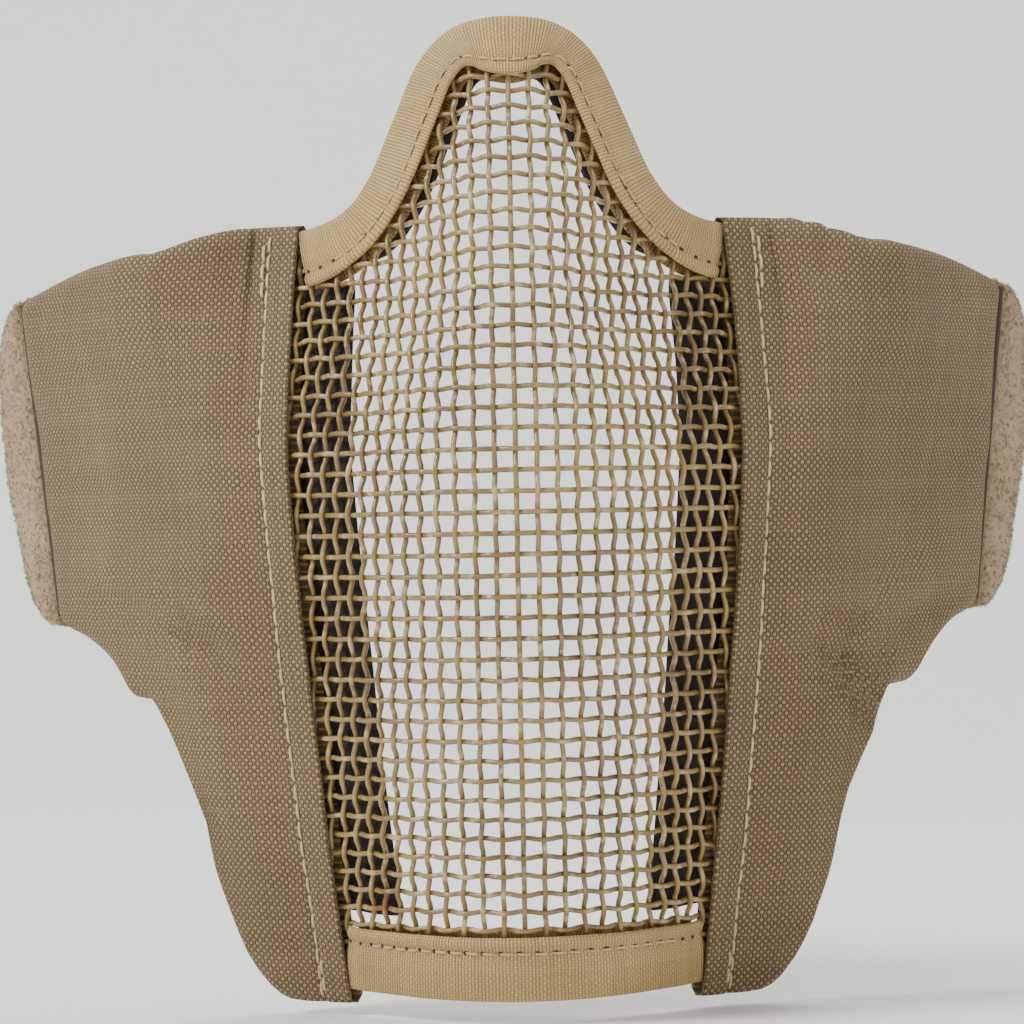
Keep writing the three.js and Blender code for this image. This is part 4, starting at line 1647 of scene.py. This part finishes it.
@dataclass
class PileRear:
    """The loop pile wrapped round a flap's rear edge, with its longer face inside."""

    side: Side
    form: Wing = field(default_factory=Wing)
    low: float = -21.8
    high: float = 46.8
    panel_start: float = 27.0
    panel_end: float = 52.0

    def place(self, e: float, inward: float, z: float) -> Vector:
        """Return a point of the flap on this side."""
        return sided(self.side, self.form.ear_frame(e, inward, z))

    def roll_point(self, z: float, angle: float, grow: float = 0.0) -> Vector:
        """Return a point of the padded roll, turned round it by an angle, at a height."""
        seam, rear = self.form.seam(z) + 0.7, knots(self.form.ear_rear, z)
        width = max(0.15, rear - seam + 0.4)
        thick = 4.7 * math.sqrt(width / (width + 2.2))
        c, s = math.cos(angle), math.sin(angle)
        e = seam + width / 2 + (width / 2 + grow) * math.copysign(abs(c) ** 0.72, c)
        lump = 0.35 * wobble((e, z, s * 5), 3.2, 7.0) + 0.4 * wobble((e, z, s * 5), 11.0, 2.0)
        y = -(thick + grow + lump) * math.copysign(abs(s) ** 0.72, s)
        return self.place(e, y, z)

    def build(self) -> list[bpy.types.Object]:
        """Build the roll, the inner panel, the dark seam cord with its painted shade and the
        pile's loops.
        """
        around, up = 40, 70
        rings = []
        for i in range(up + 1):
            t = i / up
            z = lerp(self.low, self.high, 0.75 * t + 0.25 * (0.5 - 0.5 * math.cos(math.pi * t)))
            rings.append([self.roll_point(z, 2 * math.pi * j / around) for j in range(around)])
        round_it = ring_lengths(rings[up // 2])
        name = f"{self.side.word}_pile_roll"
        roll = swept(name, rings, lambda i, j: (rings[i][j % around].z, round_it[j]))
        word = self.side.word
        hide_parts(f"{word}_pile_edge")
        dress(roll, PILE)
        pieces = [roll, self.build_panel(), self.build_seam(), *self.build_loops()]
        for piece in pieces:
            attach(piece, f"{word}_flap")
        return pieces

    def panel_point(self, share: float, v: float, grow: float) -> Vector:
        """Return a point of the inner panel at shares across and up it."""
        e = lerp(self.panel_start, self.panel_end, share)
        edge = min(share * 25, (1 - share) * 25 + 2, min(v, 1 - v) * 68)
        rounded = math.sqrt(max(0.0, 1 - (1 - min(1.0, edge / 1.6)) ** 2))
        lift = 3.3 + 1.35 * rounded + grow + 0.2 * wobble((e, v * 68, 0), 8.0, 3.0)
        return self.place(e, lift, self.form.ear_height(e, lerp(0.015, 0.985, v)))

    def build_panel(self) -> bpy.types.Object:
        """Build the flat panel of pile on the flap's inside."""
        across, up = 20, 48
        rings = []
        for i in range(up + 1):
            v = i / up
            top = [self.panel_point(j / across, v, 0) for j in range(across + 1)]
            shares = [j / across for j in range(across, -1, -1)]
            low = []
            for t in shares:
                e = lerp(self.panel_start, self.panel_end, t)
                low.append(self.place(e, 3.1, self.form.ear_height(e, lerp(0.015, 0.985, v))))
            rings.append(top + low)
        name = f"{self.side.word}_pile_panel"
        panel = swept(name, rings, lambda i, j: (rings[i][j % len(rings[i])].z, float(j)))
        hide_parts(f"{self.side.word}_pile_edge")
        dress(panel, PILE)
        return panel

    def build_seam(self) -> bpy.types.Object:
        """Build the dark cord-like seam between the cover and the outer pile, thick to paint the
        groove's shade.
        """
        path, normals = [], []
        for k in range(60):
            z = lerp(-19.5, 45.0, k / 59)
            path.append(self.place(self.form.seam(z) + 0.2, -2.75, z))
            normals.append(sided(self.side, self.form.ear_outward()))
        # The cord is a real seam, thickened and darkened as painted shade of the groove between
        # cover and pile.
        strand = Strand(tuple(path), tuple(normals), (0.7,) * len(path))
        seam = strands_piece(f"{self.side.word}_pile_seam", [strand], 8)
        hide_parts(f"{self.side.word}_pile_stitching")
        dress(seam, DARK_THREAD)
        return seam

    def loop(self, foot: Vector, outward: Vector, rng: random.Random) -> Strand:
        """Return one loop of pile that stands on the cloth."""
        way = Vector((rng.gauss(0, 1), rng.gauss(0, 1), rng.gauss(0, 1)))
        way = (way - outward * way.dot(outward)).normalized()
        size, lean = rng.uniform(0.22, 0.46), rng.uniform(-0.35, 0.35)
        side_way = outward.cross(way)
        path = []
        for k in range(5):
            angle = math.pi * k / 4
            rise = outward * math.sin(angle) * size * 1.3 + side_way * math.sin(angle) * lean
            path.append(foot - way * math.cos(angle) * size * 0.8 + rise - outward * 0.15)
        return Strand(tuple(path), (side_way,) * 5, (0.06,) * 5)

    def build_loops(self) -> list[bpy.types.Object]:
        """Build the pile's loops on the roll and on the inner panel."""
        rng = random.Random(40 + self.side.value)
        loops = []
        for _ in range(4200):
            z, angle = rng.uniform(self.low + 0.3, self.high - 0.6), rng.uniform(0, 2 * math.pi)
            foot = self.roll_point(z, angle)
            outward = (self.roll_point(z, angle, 1.0) - foot).normalized()
            loops.append(self.loop(foot, outward, rng))
        roll = strands_piece(f"{self.side.word}_pile_loops_roll", loops, 3)
        loops = []
        for _ in range(2600):
            share, v = rng.uniform(0.03, 0.95), rng.uniform(0.02, 0.98)
            foot = self.panel_point(share, v, 0)
            outward = (self.panel_point(share, v, 1.0) - foot).normalized()
            loops.append(self.loop(foot, outward, rng))
        panel = strands_piece(f"{self.side.word}_pile_loops_panel", loops, 3)
        for piece in (roll, panel):
            dress(piece, PILE)
        return [roll, panel]


# ---- stowed strap halves -----------------------------------------------------------------------


def deselect_all() -> None:
    """Deselect every object, so that an operator acts on new ones alone."""
    bpy.ops.object.select_all(action="DESELECT")


def added_box(size: Sequence[float], centre: Sequence[float]) -> bpy.types.Object:
    """Add a box by its size and centre, in mm, with its scale applied."""
    deselect_all()
    bpy.ops.mesh.primitive_cube_add(size=1, location=[c * MM for c in centre])
    box = bpy.context.object
    box.scale = [s * MM for s in size]
    bpy.ops.object.transform_apply(location=True, rotation=True, scale=True)
    return box


def apply_modifier(piece: bpy.types.Object, kind: str, **settings: object) -> None:
    """Add a modifier with these settings and apply it."""
    modifier = piece.modifiers.new(kind, kind)
    for key, value in settings.items():
        setattr(modifier, key, value)
    bpy.context.view_layer.objects.active = piece
    bpy.ops.object.modifier_apply(modifier=modifier.name)


@dataclass
class StrapHalf:
    """A strap half folded back along the inside of a flap, with its slider and hook tab."""

    side: Side
    form: Wing = field(default_factory=Wing)
    axis_e: float = 49.5
    axis_inward: float = 8.4
    axis_z: float = 2.0
    rest_turn: float = 12.0
    width: float = 25.0
    length: float = 50.0
    ply: float = 1.42
    clear_half: float = 1.9
    slider_start: float = 8.0
    slider_length: float = 13.0
    rail: float = 3.0
    bar: float = 1.8
    tab_start: float = 30.0
    tab_length: float = 18.0

    def place(self, x: float, y: float, z: float) -> Vector:
        """Return the point x along the strap, y towards the flap and z up, on this side."""
        turn = math.radians(180 + self.form.ear_angle - self.rest_turn)
        along_it = Vector((math.cos(turn), math.sin(turn), 0))
        outward = Vector((-along_it.y, along_it.x, 0))
        axis = self.form.ear_frame(self.axis_e, self.axis_inward, self.axis_z)
        return sided(self.side, axis + along_it * x + outward * y + Vector((0, 0, z)))

    def name(self, part: str) -> str:
        """Return the name of one of the strap's pieces."""
        return f"{self.side.word}_strap_{part}"

    def hairpin(self, length: float, thick: float, gap: float) -> list[tuple[float, float, float]]:
        """Return a folded ribbon's section as (x, y, run), outside first.

        Args:
            length: From the fold to the two ends.
            thick: The ribbon's thickness.
            gap: Between its two runs.

        Returns:
            Points round the section, with the run along the ribbon at each.
        """
        outer, inner = gap / 2 + thick, gap / 2
        steps = 26
        out = []
        for k in range(steps + 1):
            x = length * (1 - k / steps)
            out.append((x, outer, length - x))
        for k in range(1, 8):
            angle = math.pi * k / 8
            out.append((-outer * math.sin(angle), outer * math.cos(angle), length + k * 0.5))
        for k in range(steps + 1):
            x = length * k / steps
            out.append((x, -outer, length + 4 + x))
        for k in range(steps + 1):
            x = length * (1 - k / steps)
            out.append((x, -inner, length + 4 + x))
        for k in range(steps + 1):
            x = length * k / steps
            out.append((x, inner, length - x))
        return out

    def ribbon(
        self,
        part: str,
        width: float,
        section: list[tuple[float, float, float]],
        at: Callable[[float, float, float], Vector],
    ) -> bpy.types.Object:
        """Sweep a folded ribbon's section over its width, with rounded selvedges.

        Args:
            part: The part's name.
            width: The ribbon's width.
            section: Points round its section, with the run along the ribbon.
            at: Gives the place of a point of the ribbon.

        Returns:
            The ribbon.
        """
        half = width / 2
        edge_stops = (0.0, 0.15, 0.6)
        stops = [-half + inset for inset in edge_stops]
        stops += [lerp(-half + 1.2, half - 1.2, k / 14) for k in range(15)]
        stops += [half - inset for inset in reversed(edge_stops)]
        middle = 0.5 * (max(p[1] for p in section) + 0.08)
        rings = []
        for z in stops:
            inset = min(1.0, (half - abs(z)) / 0.6)
            share = 0.45 + 0.55 * math.sqrt(1 - (1 - inset) ** 2)
            ring = []
            for x, y, _ in section:
                centre = math.copysign(min(abs(y), middle), y)
                soft = 0.1 * wobble((x, z, y), 7.0, 2.0 + self.side.value)
                ring.append(at(x, centre + (y - centre) * share + soft, z))
            rings.append(ring)
        runs = [p[2] for p in section] + [section[0][2]]
        return swept(self.name(part), rings, lambda i, j: (runs[j], stops[i]))

    def build_web(self) -> bpy.types.Object:
        """Build the elastic web, folded in two."""
        section = self.hairpin(self.length, self.ply, 0.14)
        web = self.ribbon("elastic", self.width, section, self.place)
        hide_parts(self.name("web"))
        dress(web, WEBBING)
        return web

    def build_anchor(self) -> bpy.types.Object:
        """Build the folded patch that holds the strap to the flap."""

        def at(x: float, y: float, z: float) -> Vector:
            """Return a point of the patch on the flap."""
            place = self.form.ear_frame(self.axis_e + 4.4 - x, 5.7 + y, self.axis_z + z)
            return sided(self.side, place)

        patch = self.ribbon("patch", self.width, self.hairpin(8.6, 0.7, 0.1), at)
        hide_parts(self.name("anchor"))
        dress(patch, WEBBING)
        return patch

    def build_stitches(self, part: str, rows: Sequence[float], y: float) -> bpy.types.Object:
        """Build rows of stitches over the width of the web."""
        strands = []
        for x in rows:
            path = [self.place(x, y, lerp(-11.2, 11.2, k / 30)) for k in range(31)]
            outward = (self.place(x, y * 2, 0) - self.place(x, y, 0)).normalized()
            strands += stitches(path, [outward] * 31, 2.6, 2.0, 0.22, 0.3)
        return strands_piece(self.name(part), strands, 6)

    def build_tab(self) -> list[bpy.types.Object]:
        """Build the hook tab on the web and its hooks."""
        x = self.tab_start + self.tab_length / 2
        y = self.ply + 0.2 + 0.15 + 0.35
        tab = added_box((self.tab_length, 0.7, self.width), (x, -y, 0))
        bevel = 0.28 * MM
        apply_modifier(tab, "BEVEL", width=bevel, segments=3, limit_method="ANGLE")
        self.settle(tab, "hook_tab")
        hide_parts(self.name("tab"))
        dress(tab, HOOKS)
        hooks = []
        for row in range(13):
            for column in range(18):
                hx = self.tab_start + 1.0 + row * (self.tab_length - 2) / 12
                hz = lerp(-self.width / 2 + 1.1, self.width / 2 - 1.1, column / 17)
                hooks.append(self.hook(hx, -y - 0.3, hz, 1 if column % 2 else -1))
        grip = strands_piece(self.name("tab_hooks"), hooks, 4)
        dress(grip, HOOKS)
        return [tab, grip]

    def hook(self, x: float, y: float, z: float, way: int) -> Strand:
        """Return one small hook that stands on the tab."""
        path = [(0, 0), (0, -0.35), (0.08, -0.6), (0.26, -0.68), (0.36, -0.52)]
        places = tuple(self.place(x + dx * way, y + dy, z) for dx, dy in path)
        normal = (self.place(x, y, z + 1) - self.place(x, y, z)).normalized()
        return Strand(places, (normal,) * 5, (0.13, 0.12, 0.11, 0.1, 0.08))

    def settle(self, piece: bpy.types.Object, part: str) -> None:
        """Carry a piece made in the strap's own frame to its place on the flap."""
        for vertex in piece.data.vertices:
            x, y, z = vertex.co / MM
            vertex.co = self.place(x, y, z) * MM
        face_outwards(piece.data)
        deselect_all()
        piece.select_set(True)
        bpy.context.view_layer.objects.active = piece
        bpy.ops.object.shade_smooth_by_angle(angle=math.radians(35))
        piece.name = self.name(part)

    def build_slider(self) -> bpy.types.Object:
        """Build the moulded three-bar slider round the web."""
        start, length = self.slider_start, self.slider_length
        middle, bar_y = start + length / 2, self.clear_half + self.bar / 2
        rail_z = self.width / 2 + 0.3 + self.rail / 2
        height = 2 * (self.clear_half + self.bar)
        body = added_box((length, height, self.rail), (middle, 0, rail_z))
        parts = [added_box((length, height, self.rail), (middle, 0, -rail_z))]
        bars = ((start + self.bar / 2, -bar_y), (middle, bar_y))
        bars += ((start + length - self.bar / 2, -bar_y),)
        for x, y in bars:
            parts.append(added_box((self.bar, self.bar, 2 * rail_z), (x, y, 0)))
        for part in parts:
            apply_modifier(body, "BOOLEAN", operation="UNION", object=part, solver="EXACT")
            bpy.data.objects.remove(part)
        bevel = 0.45 * MM
        apply_modifier(
            body, "BEVEL", width=bevel, segments=4, limit_method="ANGLE", use_clamp_overlap=True
        )
        self.settle(body, "buckle")
        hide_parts(self.name("slider"))
        dress(body, PLASTIC)
        return body

    def build(self) -> list[bpy.types.Object]:
        """Build the strap half and put its pieces on their bodies."""
        flap, strap = f"{self.side.word}_flap", f"{self.side.word}_strap"
        anchor, web, slider = self.build_anchor(), self.build_web(), self.build_slider()
        sewing = self.build_stitches("stitches", (3.0, 5.2), -self.ply - 0.1)
        tab_sewing = self.build_stitches("tab_stitches", (31.0, 47.0), -self.ply - 1.1)
        tab = self.build_tab()
        dress(sewing, DARK_THREAD)
        dress(tab_sewing, DARK_THREAD)
        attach(anchor, flap)
        for piece in (web, sewing, tab_sewing, *tab):
            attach(piece, strap)
        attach(slider, f"{self.side.word}_slider")
        return [anchor, web, sewing, tab_sewing, *tab, slider]


# ---- stage -------------------------------------------------------------------------------------


@dataclass(frozen=True)
class PaleCard(Finish):
    """Matt pale card, barely uneven."""

    light: tuple[float, ...] = tone(250, 250, 249)
    dark: tuple[float, ...] = tone(245, 245, 244)

    def draw(self, graph: Graph) -> dict[str, Value]:
        """Draw the card's faint unevenness."""
        mottle = graph.effect(effects().mottle, Place=graph.millimetres(), Size=160.0)
        return {"Base Color": graph.blend(mottle["Patches"], self.dark, self.light)}


@dataclass
class Studio:
    """A pale floor that curves up into a backdrop, soft lights and the camera. In metres."""

    floor: float = -0.0995
    half_width: float = 3.0
    front: float = -2.4
    back: float = 1.7
    bend: float = 0.9
    top: float = 3.2
    camera_x: float = -0.0009
    camera_y: float = -0.921
    lens: float = 168.3
    roll: float = 1.17

    def build(self) -> None:
        """Build the floor, the lights and the camera."""
        profile = [(self.front, self.floor), (self.back - self.bend, self.floor)]
        for k in range(1, 13):
            angle = math.pi / 2 * k / 12
            y = self.back - self.bend + self.bend * math.sin(angle)
            profile.append((y, self.floor + self.bend * (1 - math.cos(angle))))
        profile.append((self.back, self.top))
        points, faces = [], []
        for y, z in profile:
            points += [Vector((side * self.half_width, y, z)) / MM for side in (-1, 1)]
        for k in range(len(profile) - 1):
            faces.append((2 * k, 2 * k + 1, 2 * k + 3, 2 * k + 2))
        card = mesh_piece("pale_floor", points, faces)
        card.data.materials.append(PaleCard("pale card", "cloth", 0.9).material())
        card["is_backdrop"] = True
        self.build_lights()
        self.build_camera()

    def build_lights(self) -> None:
        """Build three soft lights and an even surround."""
        aim = Vector((0, 0.03, 0))
        for name, place, size, watts in (
            ("key", (-1.3, -0.75, 1.25), 0.6, 34.0),
            ("fill", (1.2, -1.1, 0.35), 1.3, 6.0),
            ("top", (0.1, 0.3, 1.6), 1.2, 14.0),
        ):
            lamp = bpy.data.lights.new(name, "AREA")
            lamp.shape, lamp.size, lamp.energy = "DISK", size, watts
            light = bpy.data.objects.new(name, lamp)
            light.location = place
            light.rotation_euler = (aim - Vector(place)).to_track_quat("-Z", "Y").to_euler()
            bpy.context.scene.collection.objects.link(light)
        world = bpy.data.worlds.new("surround")
        world.use_nodes = True
        sky = world.node_tree.nodes["Background"]
        sky.inputs["Color"].default_value = (1.0, 0.99, 0.975, 1)
        sky.inputs["Strength"].default_value = 0.68
        bpy.context.scene.world = world

    def build_camera(self) -> None:
        """Build the camera, level and square to the mask, rolled a little."""
        lens = bpy.data.cameras.new("camera")
        lens.lens, lens.sensor_width = self.lens, 36.0
        lens.clip_start, lens.clip_end = 0.05, 20.0
        camera = bpy.data.objects.new("camera", lens)
        camera.location = (self.camera_x, self.camera_y, 0)
        camera.rotation_euler = (math.pi / 2, math.radians(self.roll), 0)
        bpy.context.scene.collection.objects.link(camera)
        bpy.context.scene.camera = camera


def main() -> None:
    """Build the mask's pieces, dress them, and set up the stage."""
    logging.basicConfig(level=logging.INFO, format="%(name)s: %(message)s")
    makers: list[object] = [WireCloth(), *tape_edges()]
    for side in Side:
        makers += [WingCloth(side), PileRear(side), StrapHalf(side)]
    for maker in makers:
        for piece in maker.build():
            LOG.info("built %s, %d faces", piece.name, len(piece.data.polygons))
    Studio().build()
    boxes = {"cad": CAD_BOX, "visual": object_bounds()}
    {key: [list(corner) for corner in box] for key, box in boxes.items()}


if __name__ == "__main__":
    main()
